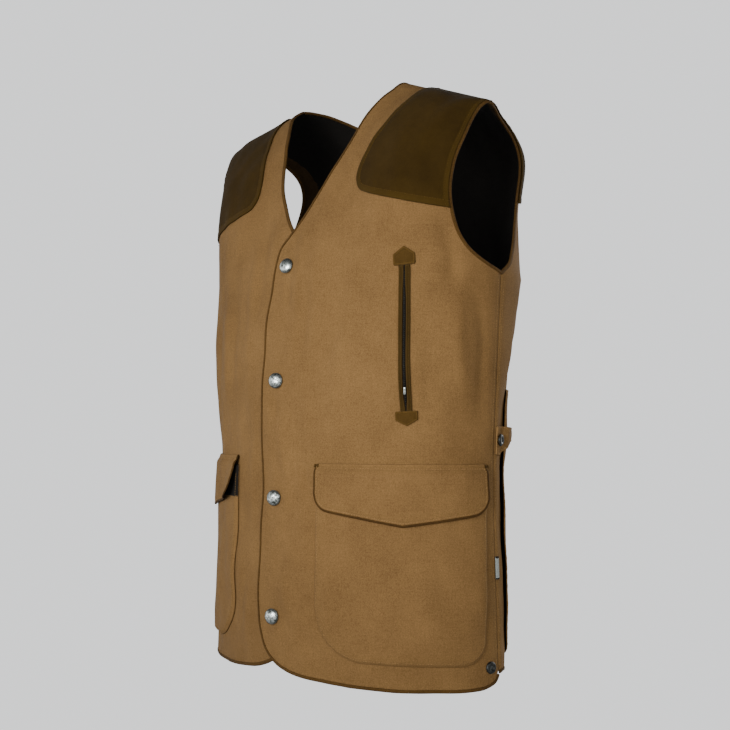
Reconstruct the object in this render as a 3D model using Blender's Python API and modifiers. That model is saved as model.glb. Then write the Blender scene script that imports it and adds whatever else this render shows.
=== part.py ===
"""Hunting gilet in its worn shape, a hollow shell of cloth pieces.

Blender 4.5 script, +Z up. The front faces -Y and the wearer's left is +X.
The origin lies midway between the shoulder seams, where the wearer's shoulders carry it.
Sizes are in millimetres, and MM turns them into Blender's metres.
"""
import math
from collections import namedtuple

import bpy
import numpy as np
from mathutils import Matrix, Vector
from mathutils.geometry import delaunay_2d_cdt

MM = 0.001

# Levels and reach of the body form
WAIST_HALF_WIDTH, WAIST_HALF_DEPTH = 230.0, 128.0
CHEST_Z = -215.0
HEM_Z = -685.0
SKIRT_RUN = CHEST_Z - HEM_Z
RIB_RUN = 270.0
RIB_RISE = 277.0
SEAM_Y = 8.0
NECK_X, NECK_Y, NECK_Z = 94.0, -1.0, 33.0
TIP_X, TIP_Y = 228.0, 4.0
TIP_Z_LEFT, TIP_Z_RIGHT = -18.0, 2.0
TIP_Z_BLEND = 60.0

# Roundness of the ribs, which rise over the chest and the shoulder blades
RIB_REACH = 200.0
SQUARE_LEFT, SQUARE_RIGHT = 1.51, 1.9
SLOPE_RIGHT = 0.62
BACK_WIDTH = 236.0
BLADE_BULGE = (0.05, 0.44)
BLADE_PEAK = 12.2
BLADE_TAPER = 0.11

# Cloth
WALL = 1.8
PATCH_WALL = 1.4
SEAM = 0.3
LAID = 0.7
BINDING_R = 1.5
COLUMN_COUNT = 13
SKIRT_ROW = 29.0
RIB_ROW = 18.0
EDGE_STEP = 20.0
LATTICE_CLEAR = 7.0

# Front closing
OVERLAP = 26.0
UNDERLAP_LIFT = WALL / 2 + BINDING_R + 1.0
UNDERLAP_SLOPE = (-84.0, -36.0)
SNAP_S = 2.0
SNAP_TOP_Z = -196.5
SNAP_PITCH = 139.8
SNAP_COUNT = 4
SNAP_LEAN = math.radians(17.0)
SNAP_SEAT = 3.3

Section = namedtuple("Section", "z half_width front_depth front_fullness back_depth back_fullness")
BODY = (
    Section(-685.0, 229.0, 137.0, -0.10, 76.0, 0.04),
    Section(-570.0, 226.0, 135.0, -0.11, 71.0, 0.04),
    Section(-450.0, 223.0, 132.0, -0.08, 70.0, 0.08),
    Section(-330.0, 229.0, 130.0, 0.04, 92.0, 0.18),
    Section(-215.0, 236.0, 117.0, 0.14, 125.0, 0.30),
)

Fold = namedtuple("Fold", "side s0 t0 s1 t1 width height")
FOLDS = (
    Fold("front", 236.0, 30.0, 222.0, -205.0, 20.0, 2.6),
    Fold("front", 128.0, -470.0, 150.0, -300.0, 26.0, 2.4),
    Fold("front", -206.0, 20.0, -190.0, -200.0, 22.0, 2.6),
    Fold("front", -70.0, -300.0, -52.0, -470.0, 26.0, 2.2),
    Fold("back", -70.0, 70.0, -40.0, -120.0, 27.0, 3.4),
    Fold("back", 64.0, 70.0, 92.0, -110.0, 27.0, 3.6),
    Fold("back", 186.0, 30.0, 204.0, -120.0, 22.0, 2.6),
)


def spline(x, knots, values):
    """Smooth curve through the knots, with Catmull-Rom slopes."""
    knots = np.asarray(knots, float)
    values = np.asarray(values, float)
    slopes = np.gradient(values, knots)
    x = np.clip(x, knots[0], knots[-1])
    i = np.clip(np.searchsorted(knots, x) - 1, 0, len(knots) - 2)
    h = knots[i + 1] - knots[i]
    u = (x - knots[i]) / h
    start = (1 + 2 * u) * (1 - u) ** 2 * values[i] + u * (1 - u) ** 2 * h * slopes[i]
    end = u * u * (3 - 2 * u) * values[i + 1] + u * u * (u - 1) * h * slopes[i + 1]
    return start + end


def ease(x, start, end):
    """0 before start, 1 after end, and smooth between."""
    u = np.clip((np.asarray(x, float) - start) / (end - start), 0.0, 1.0)
    return u * u * (3 - 2 * u)


def lattice_columns(count, crowding=1.35):
    """Girth lines shared by every piece, closer together where the sides curve."""
    half = [SIDE_S * (1 - (1 - k / count) ** crowding) for k in range(count)]
    return np.array([-s for s in half[:0:-1]] + half)


def lattice_rows(skirt_step, rib_step):
    """Height lines shared by every piece, closer together over the shoulders."""
    skirt = np.arange(0.0, -SKIRT_RUN, -skirt_step)[:0:-1]
    return np.concatenate((skirt, np.arange(0.0, RIB_RUN, rib_step)))


def quarter_arc():
    """Arc length against angle on a quarter of the mean waist ellipse."""
    angle = np.linspace(0.0, math.pi / 2, 801)
    x = WAIST_HALF_WIDTH * np.sin(angle)
    y = WAIST_HALF_DEPTH * np.cos(angle)
    step = np.hypot(np.diff(x), np.diff(y))
    return angle, np.concatenate(([0.0], np.cumsum(step)))


ARC_ANGLE, ARC_LENGTH = quarter_arc()
SIDE_S = ARC_LENGTH[-1]
COLUMNS = lattice_columns(COLUMN_COUNT)
ROWS = lattice_rows(SKIRT_ROW, RIB_ROW)


def column(name, z):
    levels = [row.z for row in BODY]
    return spline(z, levels, [getattr(row, name) for row in BODY])


def shoulder_line(x):
    """Y and z of the shoulder seam at this x. The left shoulder hangs a little lower."""
    run = (np.abs(x) - NECK_X) / (TIP_X - NECK_X)
    tip_z = TIP_Z_LEFT + (TIP_Z_RIGHT - TIP_Z_LEFT) * ease(-x, -TIP_Z_BLEND, TIP_Z_BLEND)
    return NECK_Y + (TIP_Y - NECK_Y) * run, NECK_Z + (tip_z - NECK_Z) * run


def form_point(side, s, t):
    """Plain body form. s is girth from the centre, t is height: skirt below 0, ribs above."""
    s = np.asarray(s, float)
    t = np.asarray(t, float)
    angle = np.sign(s) * np.interp(np.abs(s), ARC_LENGTH, ARC_ANGLE)
    z = CHEST_Z + np.minimum(t, 0.0)
    depth = column(side + "_depth", z) * (1 + column(side + "_fullness", z) * np.sin(angle) ** 2)
    sign = -1.0 if side == "front" else 1.0
    x = column("half_width", z) * np.sin(angle)
    y = SEAM_Y + sign * depth * np.cos(angle)
    rise = np.clip(t / RIB_RUN, 0.0, 1.0) * math.pi / 2
    reach = np.abs(x) / RIB_REACH
    if side == "front":
        right = SQUARE_RIGHT * (1 - SLOPE_RIGHT * np.sin(rise) ** 2)
        power = 1.32 + np.where(x < 0, right, SQUARE_LEFT) * reach ** 2.4
        bulge = 0.0
    else:
        power = 1.8 + 1.2 * np.minimum(reach, 1.0) ** 1.5
        bulge = BLADE_BULGE[0] + BLADE_BULGE[1] * reach ** 2
        x = x * (1 - BLADE_TAPER * (np.abs(x) / BACK_WIDTH) ** 4 * np.sin(2 * rise))
    size = (np.sin(rise) ** power + np.cos(rise) ** power) ** (1 / power)
    up = np.sin(rise) / size
    out = np.cos(rise) / size * (1 + bulge * BLADE_PEAK * up ** 4 * (1 - up))
    top_y, top_z = shoulder_line(x)
    above = t > 0
    y = np.where(above, top_y + (y - top_y) * out, y)
    z = np.where(above, CHEST_Z + (top_z - CHEST_Z) * up, z)
    return np.stack(np.broadcast_arrays(x, y, z), -1)


def form_normal(side, s, t):
    """Outward unit normal of the plain form."""
    across = form_point(side, s + 1.5, t) - form_point(side, s - 1.5, t)
    along = form_point(side, s, np.minimum(t + 2.0, RIB_RUN)) - form_point(side, s, t - 2.0)
    normal = np.cross(across, along)
    if side == "back":
        normal = -normal
    return normal / np.linalg.norm(normal, axis=-1, keepdims=True)


def fold_height(side, s, t):
    """Height of the soft folds, which fade towards their ends."""
    total = np.zeros(np.broadcast(s, t).shape)
    for fold in FOLDS:
        if fold.side != side:
            continue
        run = np.array((fold.s1 - fold.s0, fold.t1 - fold.t0))
        length = np.linalg.norm(run)
        along = ((s - fold.s0) * run[0] + (t - fold.t0) * run[1]) / length
        away = ((s - fold.s0) * run[1] - (t - fold.t0) * run[0]) / length
        fade = ease(along, 0.0, 0.4 * length) * ease(-along, -length, -0.6 * length)
        total = total + fold.height * fade * np.exp(-(away / fold.width) ** 2)
    return total


def cloth_point(side, s, t, lift):
    """Point of a piece that lies lift above the panels' inner face."""
    s = np.asarray(s, float)
    t = np.asarray(t, float)
    return form_point(side, s, t) + form_normal(side, s, t) * (lift + fold_height(side, s, t))[..., None]


def girdle_point(side, s, t, lift):
    """As cloth_point, but s runs on past the side seam on to the back."""
    s = np.asarray(s, float)
    t = np.broadcast_to(np.asarray(t, float), s.shape)
    lift = np.broadcast_to(lift, s.shape)
    mirror = 1.0 if side == "left" else -1.0
    front = cloth_point("front", mirror * np.minimum(s, SIDE_S), t, lift)
    back = cloth_point("back", mirror * np.minimum(2 * SIDE_S - s, SIDE_S), t, lift)
    return np.where((s <= SIDE_S)[..., None], front, back)


def t_of_z(z):
    """Height t of a level z near the centre front."""
    if z <= CHEST_Z:
        return z - CHEST_Z
    return RIB_RUN * 2 / math.pi * (z - CHEST_Z) / RIB_RISE


def smooth_path(points, step=EDGE_STEP):
    """Points along a smooth curve through the given ones, about step apart."""
    points = np.asarray(points, float)
    run = np.concatenate(([0.0], np.cumsum(np.linalg.norm(np.diff(points, axis=0), axis=1))))
    count = max(2, int(round(run[-1] / step)) + 1)
    at = np.linspace(0.0, run[-1], count)
    return np.stack([spline(at, run, points[:, k]) for k in range(2)], -1)


def straight(start, end, step=EDGE_STEP):
    count = max(2, int(round(math.dist(start, end) / step)) + 1)
    return np.linspace(start, end, count)


def joined(*runs):
    """One closed outline from runs that share their end points."""
    points = []
    for run in runs:
        for p in run:
            if not points or math.dist(points[-1], p) > 0.5:
                points.append(tuple(p))
    if math.dist(points[0], points[-1]) < 0.5:
        points.pop()
    return np.array(points)


def rounded(corners, step=EDGE_STEP):
    """Closed outline with each corner (s, t, radius) rounded by an arc."""
    runs = []
    count = len(corners)
    for k, (s, t, radius) in enumerate(corners):
        here = Vector((s, t))
        before = (Vector(corners[k - 1][:2]) - here).normalized()
        after = (Vector(corners[(k + 1) % count][:2]) - here).normalized()
        half = before.angle(after) / 2
        reach = radius / math.tan(half)
        centre = here + (before + after).normalized() * (radius / math.sin(half))
        start = here + before * reach
        end = here + after * reach
        a0 = math.atan2(*(start - centre).yx)
        turn = math.remainder(math.atan2(*(end - centre).yx) - a0, 2 * math.pi)
        pieces = max(1, round(abs(turn) * max(radius, 4.0) / step + abs(turn) / 0.9))
        angles = [a0 + turn * i / pieces for i in range(pieces + 1)]
        runs.append([centre + Vector((math.cos(a), math.sin(a))) * radius for a in angles])
    outline = []
    for k, run in enumerate(runs):
        outline.extend(tuple(p) for p in run)
        following = runs[(k + 1) % count][0]
        outline.extend(tuple(p) for p in straight(run[-1], following, step)[1:-1])
    return joined(outline)


def edge_distance(points, outline):
    """Distance from each point to the closed outline."""
    a = outline[None]
    b = np.roll(outline, -1, axis=0)[None]
    p = points[:, None]
    run = b - a
    u = np.clip(((p - a) * run).sum(-1) / (run ** 2).sum(-1), 0.0, 1.0)
    return np.linalg.norm(p - a - run * u[..., None], axis=-1).min(axis=1)


def inside(points, outline):
    """True for each point within the closed outline."""
    x, y = points[:, 0:1], points[:, 1:2]
    ax, ay = outline[:, 0], outline[:, 1]
    bx, by = np.roll(ax, -1), np.roll(ay, -1)
    crosses = ((ay > y) != (by > y)) & (x < (bx - ax) * (y - ay) / (by - ay + 1e-12) + ax)
    return crosses.sum(axis=1) % 2 == 1


def inset_ring(outline, distance):
    """The outline moved inwards, for a rim that rises inside its edge."""
    before = outline - np.roll(outline, 1, axis=0)
    after = np.roll(outline, -1, axis=0) - outline
    run = before / np.linalg.norm(before, axis=1, keepdims=True)
    run = run + after / np.linalg.norm(after, axis=1, keepdims=True)
    run = run / np.linalg.norm(run, axis=1, keepdims=True)
    normal = np.stack((-run[:, 1], run[:, 0]), -1)
    area = (outline[:, 0] * np.roll(outline[:, 1], -1) - np.roll(outline[:, 0], -1) * outline[:, 1]).sum()
    return outline + normal * distance * math.copysign(1.0, area)


def make_material(name, colour, roughness, metallic=0.0):
    material = bpy.data.materials.new(name)
    material.use_nodes = True
    shader = material.node_tree.nodes["Principled BSDF"]
    shader.inputs["Base Color"].default_value = (*colour, 1.0)
    shader.inputs["Roughness"].default_value = roughness
    shader.inputs["Metallic"].default_value = metallic
    return material


def add_object(name, data, colour, roughness=0.9, metallic=0.0):
    thing = bpy.data.objects.new(name, data)
    GILET.objects.link(thing)
    data.materials.append(make_material(name, colour, roughness, metallic))
    return thing


def cloth(name, place, outline, lift, colour, wall=WALL, rings=(), lattice=(COLUMNS, ROWS),
          clear=LATTICE_CLEAR):
    """A cloth wall inside an outline of (s, t) points, built on the form.

    place(s, t, lift) gives the point, lift(s, t) the height of the inner face.
    """
    grid = np.stack([axis.ravel() for axis in np.meshgrid(*lattice)], -1)
    grid = grid[inside(grid, outline)]
    rims = [inset_ring(outline, distance) for distance in rings]
    grid = grid[edge_distance(grid, outline) > clear + sum(rings)]
    flat = np.concatenate([outline, *rims, grid])
    count = len(outline)
    edges = [(count * ring + i, count * ring + (i + 1) % count)
             for ring in range(len(rings) + 1) for i in range(count)]
    points, _, faces, *_ = delaunay_2d_cdt([Vector(p) for p in flat], edges, [], 1, 1e-5)
    flat = np.array([tuple(p) for p in points])
    solid = place(flat[:, 0], flat[:, 1], lift(flat[:, 0], flat[:, 1])) * MM
    mesh = bpy.data.meshes.new(name)
    mesh.from_pydata(solid.tolist(), [], faces)
    mesh.update()
    outward = 0.0
    for face in mesh.polygons:
        outward += face.center.x * face.normal.x + (face.center.y - SEAM_Y * MM) * face.normal.y
    if outward < 0:
        mesh.flip_normals()
    mesh.shade_smooth()
    sheet = add_object(name, mesh, colour)
    solidify = sheet.modifiers.new("Cloth thickness", "SOLIDIFY")
    solidify.thickness = wall * MM
    solidify.offset = 1.0
    solidify.use_even_offset = True
    return sheet


def tube(name, points, radius, colour, closed=False, resolution=1):
    """A round cord of cloth along the points."""
    curve = bpy.data.curves.new(name, "CURVE")
    curve.dimensions = "3D"
    curve.bevel_depth = radius * MM
    curve.bevel_resolution = resolution
    curve.use_fill_caps = True
    line = curve.splines.new("POLY")
    line.points.add(len(points) - 1)
    for point, place in zip(line.points, points):
        point.co = (*(np.asarray(place) * MM), 1.0)
    line.use_cyclic_u = closed
    return add_object(name, curve, colour)


def beside(side, path, lift, sideways):
    """Line beside a panel's edge: sideways is to the path's right, seen from outside."""
    s, t = path[:, 0], path[:, 1]
    line = cloth_point(side, s, t, lift(s, t))
    normal = form_normal(side, s, t)
    run = np.gradient(line, axis=0)
    away = np.cross(run, normal)
    away = away / np.linalg.norm(away, axis=1, keepdims=True)
    return line + away * sideways


def on_axis(point, normal):
    """Matrix that stands +Z on the normal at the point."""
    turn = Vector(normal).to_track_quat("Z", "Y").to_matrix().to_4x4()
    return Matrix.Translation(Vector(point) * MM) @ turn


def turned(name, profile, steps, matrix, colour, roughness, metallic):
    """A turned piece from a profile of (radius, height), from the top down its outer side."""
    mesh = bpy.data.meshes.new(name)
    verts = [(radius * MM, 0.0, height * MM) for radius, height in profile]
    mesh.from_pydata(verts, [(i, i + 1) for i in range(len(verts) - 1)], [])
    piece = add_object(name, mesh, colour, roughness, metallic)
    screw = piece.modifiers.new("Turn", "SCREW")
    screw.steps = steps
    screw.render_steps = steps
    screw.use_merge_vertices = True
    screw.merge_threshold = 0.00005
    piece.matrix_world = matrix
    return piece


# Outlines of the panels, as rows of girth s and height t. Panels end just short of their seams.
SIDE_EDGE = SIDE_S - 0.2
SHOULDER_T = RIB_RUN - 0.2
UNDERARM_T = -1.0
FRONT_SIDE_FOOT = -453.0
BACK_SIDE_FOOT = -452.5
NECK_S = 94.0
TIP_S = 252.0
EdgeRow = namedtuple("EdgeRow", "s t")
FRONT_EDGE = (
    EdgeRow(NECK_S, RIB_RUN), EdgeRow(91.0, 243.0), EdgeRow(84.5, 216.0), EdgeRow(75.0, 189.0),
    EdgeRow(66.5, 162.0), EdgeRow(58.0, 135.0), EdgeRow(47.5, 108.0), EdgeRow(33.0, 81.0),
    EdgeRow(13.5, 54.0), EdgeRow(-2.0, 38.0), EdgeRow(-16.0, 27.0), EdgeRow(-21.0, 12.0),
    EdgeRow(-24.0, -20.0), EdgeRow(-27.0, -75.0), EdgeRow(-25.0, -141.0), EdgeRow(-24.0, -265.0),
    EdgeRow(-OVERLAP, -338.0), EdgeRow(-OVERLAP, -392.0), EdgeRow(-21.0, -420.0),
    EdgeRow(-12.0, -438.0), EdgeRow(2.0, -450.0), EdgeRow(26.0, -459.5), EdgeRow(58.0, -464.5),
    EdgeRow(110.0, -469.0),
)
FRONT_HEM = (
    EdgeRow(110.0, -469.0), EdgeRow(200.0, -470.0), EdgeRow(248.0, -469.0), EdgeRow(269.0, -466.5),
    EdgeRow(281.0, -461.5), EdgeRow(SIDE_EDGE, FRONT_SIDE_FOOT),
)
ARMHOLE_FRONT = (
    EdgeRow(SIDE_EDGE, UNDERARM_T), EdgeRow(264.0, 8.0), EdgeRow(246.0, 19.0), EdgeRow(232.0, 35.0),
    EdgeRow(224.0, 54.0), EdgeRow(220.5, 72.0), EdgeRow(223.0, 99.0), EdgeRow(235.0, 135.0),
    EdgeRow(248.0, 200.0), EdgeRow(TIP_S, SHOULDER_T),
)
ARMHOLE_BACK = (
    EdgeRow(SIDE_EDGE, UNDERARM_T), EdgeRow(268.0, 12.0), EdgeRow(252.0, 30.0), EdgeRow(241.0, 49.0),
    EdgeRow(233.0, 73.0), EdgeRow(230.0, 95.0), EdgeRow(229.0, 120.0), EdgeRow(230.0, 145.0),
    EdgeRow(238.0, 178.0), EdgeRow(249.0, 220.0), EdgeRow(TIP_S, SHOULDER_T),
)
NECK_BACK = (
    EdgeRow(NECK_S, SHOULDER_T), EdgeRow(84.0, 236.0), EdgeRow(66.0, 206.0), EdgeRow(38.0, 182.0),
    EdgeRow(0.0, 172.0), EdgeRow(-38.0, 182.0), EdgeRow(-66.0, 206.0), EdgeRow(-84.0, 236.0),
    EdgeRow(-NECK_S, SHOULDER_T),
)
BACK_HEM = (
    EdgeRow(-SIDE_EDGE, BACK_SIDE_FOOT), EdgeRow(-270.0, -451.0), EdgeRow(-245.0, -453.0),
    EdgeRow(-200.0, -457.0), EdgeRow(0.0, -466.0), EdgeRow(200.0, -457.0), EdgeRow(245.0, -453.0),
    EdgeRow(270.0, -451.0), EdgeRow(SIDE_EDGE, BACK_SIDE_FOOT),
)

# Shoulder patches: inner and lower edge, from the shoulder seam to the armhole
PATCH_FRONT = (
    EdgeRow(118.0, SHOULDER_T), EdgeRow(116.0, 235.0), EdgeRow(113.0, 200.0), EdgeRow(105.0, 165.0),
    EdgeRow(96.0, 135.0), EdgeRow(90.0, 111.0), EdgeRow(89.5, 94.0), EdgeRow(97.0, 81.0),
    EdgeRow(112.0, 74.5), EdgeRow(135.0, 69.0), EdgeRow(165.0, 64.0), EdgeRow(195.0, 60.0),
)
PATCH_BACK = (
    EdgeRow(118.0, SHOULDER_T), EdgeRow(119.0, 215.0), EdgeRow(121.0, 160.0), EdgeRow(124.0, 120.0),
    EdgeRow(130.0, 100.0), EdgeRow(145.0, 90.0), EdgeRow(175.0, 82.0), EdgeRow(205.0, 78.0),
)
PATCH_SHIFT = 23.5
PATCH_SHIFT_T = (115.0, 215.0)
PATCH_FRONT_END_T = 58.0
PATCH_BACK_END_T = 76.0

# Pockets and flaps, as corners (s, t, radius)
LEFT_FLAP = ((65.5, -219.0, 3.0), (66.5, -272.0, 24.0), (176.0, -290.0, 18.0), (274.5, -275.0, 24.0),
             (272.0, -219.0, 3.0))
LEFT_POCKET = ((67.0, -231.0, 2.0), (66.5, -443.0, 64.0), (266.0, -444.0, 30.0), (274.5, -231.0, 2.0))
RIGHT_FLAP = ((-284.0, -211.0, 3.0), (-282.0, -264.0, 24.0), (-187.0, -279.0, 18.0),
              (-91.0, -262.0, 22.0), (-89.0, -211.0, 3.0))
RIGHT_POCKET = ((-282.5, -223.0, 2.0), (-272.0, -444.0, 26.0), (-88.0, -443.0, 64.0),
                (-88.5, -223.0, 2.0))
POCKET_RISE = 2.6
POCKET_RIM = 4.0
MOUTH_RISE = 1.4
MOUTH_RUN = 60.0
FLAP_CLEAR = 1.5
FLAP_DROP = 70.0
FLAP_HANG = 1.0
OPEN_FLAP_HANG = 18.0
OPEN_FLAP_REACH = (86.0, 136.0)

# Chest zip, on the left only
ZIP_TOP = (170.4, 5.6)
ZIP_FOOT = (179.4, -159.0)
ZIP_LIP = 5.2
ZIP_SLIT = 3.4
ZIP_TAB_WIDTH = 26.0
ZIP_TAB_SIDE = 10.0
ZIP_TAB_POINT = 7.0
SLIDER_AT = 0.86
SLIDER = (2.8, 8.0, 1.6)
SLIDER_ROUND = 0.4
LIP_WALL = 1.9
CHAIN_WALL = 1.1
ZIP_TAB_WALL = 1.6
LABEL_WALL = 1.0

# Game pouch on the lower back, a little fuller at its open sides than over its middle
POUCH_TOP, POUCH_FOOT = -132.0, -442.0
POUCH = ((-256.0, POUCH_TOP, 22.0), (-258.0, POUCH_FOOT, 42.0), (258.0, POUCH_FOOT, 42.0),
         (256.0, POUCH_TOP, 22.0))
POUCH_STAND = 3.6
TAB_STAND = 5.2
POUCH_BODY = 2.0
POUCH_SPREAD = (130.0, 235.0)

# Side tabs, dark snaps and side label, with s running on past the side seam
TAB = ((288.0, -176.0, 2.0), (288.0, -208.0, 2.0), (300.0, -210.0, 3.0), (322.0, -194.0, 8.0),
       (345.0, -191.0, 4.0), (345.0, -176.0, 2.0))
TAB_ROWS = (-198.0, -187.0)
TAB_COLUMN = 4.5
TAB_CLIMB = (303.0, 314.0)
TAB_SNAP = (296.0, -191.5)
TAB_SNAP_GAP = 1.1
HEM_SNAP = (273.5, -447.0)
LABEL = ((284.5, -324.0, 0.6), (284.5, -350.0, 0.6), (292.3, -350.0, 0.6), (292.3, -324.0, 0.6))

CANVAS = (0.25, 0.15, 0.058)
SUEDE = (0.055, 0.028, 0.008)
BINDING = (0.02, 0.012, 0.006)
BLACK = (0.008, 0.007, 0.006)
NICKEL = (0.42, 0.44, 0.43)
GUNMETAL = (0.05, 0.055, 0.055)
PALE = (0.5, 0.52, 0.5)


def mirrored(rows):
    return [(-row[0], *row[1:]) for row in rows]


def flat_lift(height):
    return lambda s, t: np.full(np.broadcast(s, t).shape, float(height))


def left_lift(s, t):
    """The left front rises over the right one near the centre."""
    return UNDERLAP_LIFT * ease(-np.asarray(s, float), *UNDERLAP_SLOPE) + 0.0 * t


def front_place(s, t, lift):
    return cloth_point("front", s, t, lift)


def back_place(s, t, lift):
    return cloth_point("back", s, t, lift)


def pocket_lift(outline, base, mouth_t):
    """A patch pocket's inner face: sewn down at its edge, full inside it."""
    def lift(s, t):
        away = edge_distance(np.stack((s, t), -1), outline)
        mouth = ease(t, mouth_t - MOUTH_RUN, mouth_t)
        rise = POCKET_RISE * (1 - mouth) + MOUTH_RISE * mouth
        return base(s, t) + WALL + LAID + rise * ease(away, 0.0, POCKET_RIM)
    return lift


def flap_lift(base, top_t, open_hang):
    """A flap: sewn down along its top, clear of the pocket below it.

    open_hang is how much further its corner by the front closing has curled away.
    """
    def lift(s, t):
        drop = np.maximum(top_t - t, 0.0)
        over = (MOUTH_RISE + WALL + FLAP_CLEAR) * ease(drop, 0.0, 12.0)
        over = over + (POCKET_RISE - MOUTH_RISE) * ease(drop, 8.0, FLAP_DROP)
        hang = FLAP_HANG + open_hang * (1 - ease(np.abs(s), *OPEN_FLAP_REACH))
        return base(s, t) + WALL + LAID + over + hang * (drop / FLAP_DROP) ** 1.4
    return lift


def pouch_lift(s, t):
    """The pouch is sewn along top and bottom, and its open sides stand off."""
    height = np.clip((t - POUCH_FOOT) / (POUCH_TOP - POUCH_FOOT), 0.0, 1.0)
    belly = np.sin(math.pi * height) ** 0.6
    stand = POUCH_BODY + (POUCH_STAND - POUCH_BODY) * ease(np.abs(s), *POUCH_SPREAD)
    return WALL + LAID + stand * belly


def tab_lift(s, t):
    """The side tab rises from the front panel on to the pouch's standing edge."""
    return WALL + LAID + (TAB_STAND + WALL + LAID) * ease(s, *TAB_CLIMB) + 0.0 * t


def build_panels():
    front = joined(
        smooth_path(FRONT_EDGE), smooth_path(FRONT_HEM),
        straight((SIDE_EDGE, FRONT_SIDE_FOOT), (SIDE_EDGE, UNDERARM_T), SKIRT_ROW),
        smooth_path(ARMHOLE_FRONT),
        straight((TIP_S, SHOULDER_T), (NECK_S, SHOULDER_T)),
    )
    cloth("front_left", front_place, front, left_lift, CANVAS)
    cloth("front_right", front_place, np.array(mirrored(front)), flat_lift(0.0), CANVAS)
    back = joined(
        smooth_path(BACK_HEM),
        straight((SIDE_EDGE, BACK_SIDE_FOOT), (SIDE_EDGE, UNDERARM_T), SKIRT_ROW),
        smooth_path(ARMHOLE_BACK),
        straight((TIP_S, SHOULDER_T), (NECK_S, SHOULDER_T)),
        smooth_path(NECK_BACK),
        straight((-NECK_S, SHOULDER_T), (-TIP_S, SHOULDER_T)),
        smooth_path(mirrored(ARMHOLE_BACK))[::-1],
        straight((-SIDE_EDGE, UNDERARM_T), (-SIDE_EDGE, BACK_SIDE_FOOT), SKIRT_ROW),
    )
    cloth("back", back_place, back, flat_lift(0.0), CANVAS)


def patch_outline(inner, armhole, end_t):
    """Patch between its own inner edge and the armhole edge above end_t."""
    rim = smooth_path(armhole)
    rim = rim[rim[:, 1] > end_t + 4.0]
    edge_s = float(np.interp(end_t, [row.t for row in armhole], [row.s for row in armhole]))
    rim = np.concatenate((((edge_s, end_t),), rim))
    lower = smooth_path((*inner, EdgeRow(edge_s, end_t)))
    return joined(lower, rim, straight(rim[-1], (inner[0].s, inner[0].t)))


def build_patches():
    for where, inner, armhole, end_t, place, clear in (
            ("front", PATCH_FRONT, ARMHOLE_FRONT, PATCH_FRONT_END_T, front_place, LAID),
            ("back", PATCH_BACK, ARMHOLE_BACK, PATCH_BACK_END_T, back_place, 2 * LAID)):
        lift = flat_lift(WALL + clear)
        for name, shift in (("left", PATCH_SHIFT), ("right", 0.0)):
            rows = [EdgeRow(s + shift * float(ease(t, *PATCH_SHIFT_T)), t) for s, t in inner]
            outline = patch_outline(rows, armhole, end_t)
            rim = outline if name == "left" else np.array(mirrored(outline))
            cloth(f"shoulder_patch_{where}_{name}", place, rim, lift, SUEDE, PATCH_WALL)


def build_bindings():
    reach = BINDING_R + SEAM
    middle = WALL / 2
    edge = np.concatenate((smooth_path(FRONT_EDGE), smooth_path(FRONT_HEM)[1:]))
    left = beside("front", edge, lambda s, t: left_lift(s, t) + middle, reach)
    right = beside("front", np.array(mirrored(edge)), flat_lift(middle), -reach)
    tube("binding_front_left", left[:-1], BINDING_R, BINDING)
    tube("binding_front_right", right[:-1], BINDING_R, BINDING)
    neck = smooth_path(NECK_BACK)
    tube("binding_back_neck", beside("back", neck, flat_lift(middle), -reach)[1:-1], BINDING_R, BINDING)
    hem = smooth_path(BACK_HEM)
    tube("binding_back_hem", beside("back", hem, flat_lift(middle), -reach)[1:-1], BINDING_R, BINDING)
    for name, flip in (("left", 1.0), ("right", -1.0)):
        front = smooth_path(ARMHOLE_FRONT) * (flip, 1.0)
        back = smooth_path(ARMHOLE_BACK) * (flip, 1.0)
        front_line = beside("front", front, flat_lift(middle), reach * flip)
        back_line = beside("back", back, flat_lift(middle), -reach * flip)
        foot = (front_line[:1] + back_line[:1]) / 2
        tip = (front_line[-1:] + back_line[-1:]) / 2
        loop = np.concatenate((foot, front_line[1:-1], tip, back_line[-2:0:-1]))
        tube(f"binding_armhole_{name}", loop, BINDING_R, BINDING, closed=True)


def build_pockets():
    for name, corners, flap, base, open_hang in (
            ("left", LEFT_POCKET, LEFT_FLAP, left_lift, 0.0),
            ("right", RIGHT_POCKET, RIGHT_FLAP, flat_lift(0.0), OPEN_FLAP_HANG)):
        outline = rounded(corners)
        lift = pocket_lift(outline, base, corners[0][1])
        cloth(f"pocket_{name}", front_place, outline, lift, CANVAS, rings=(POCKET_RIM,))
        top = flap[0][1]
        cloth(f"flap_{name}", front_place, rounded(flap), flap_lift(base, top, open_hang), CANVAS,
              lattice=(COLUMNS, lattice_rows(SKIRT_ROW / 2, RIB_ROW)))


def zip_frame(along, across):
    """Point (s, t) of the chest zip: along from top to foot, across to its right."""
    top = np.array(ZIP_TOP)
    run = np.array(ZIP_FOOT) - top
    run = run / np.linalg.norm(run)
    return top + np.outer(np.atleast_1d(along), run) + np.outer(np.atleast_1d(across), (-run[1], run[0]))


def zip_strip(start, end, left, right, pieces=6):
    along = np.linspace(start, end, pieces + 1)
    near = zip_frame(along, np.full(along.shape, left))
    far = zip_frame(along[::-1], np.full(along.shape, right))
    return np.concatenate((near, far))


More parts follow.
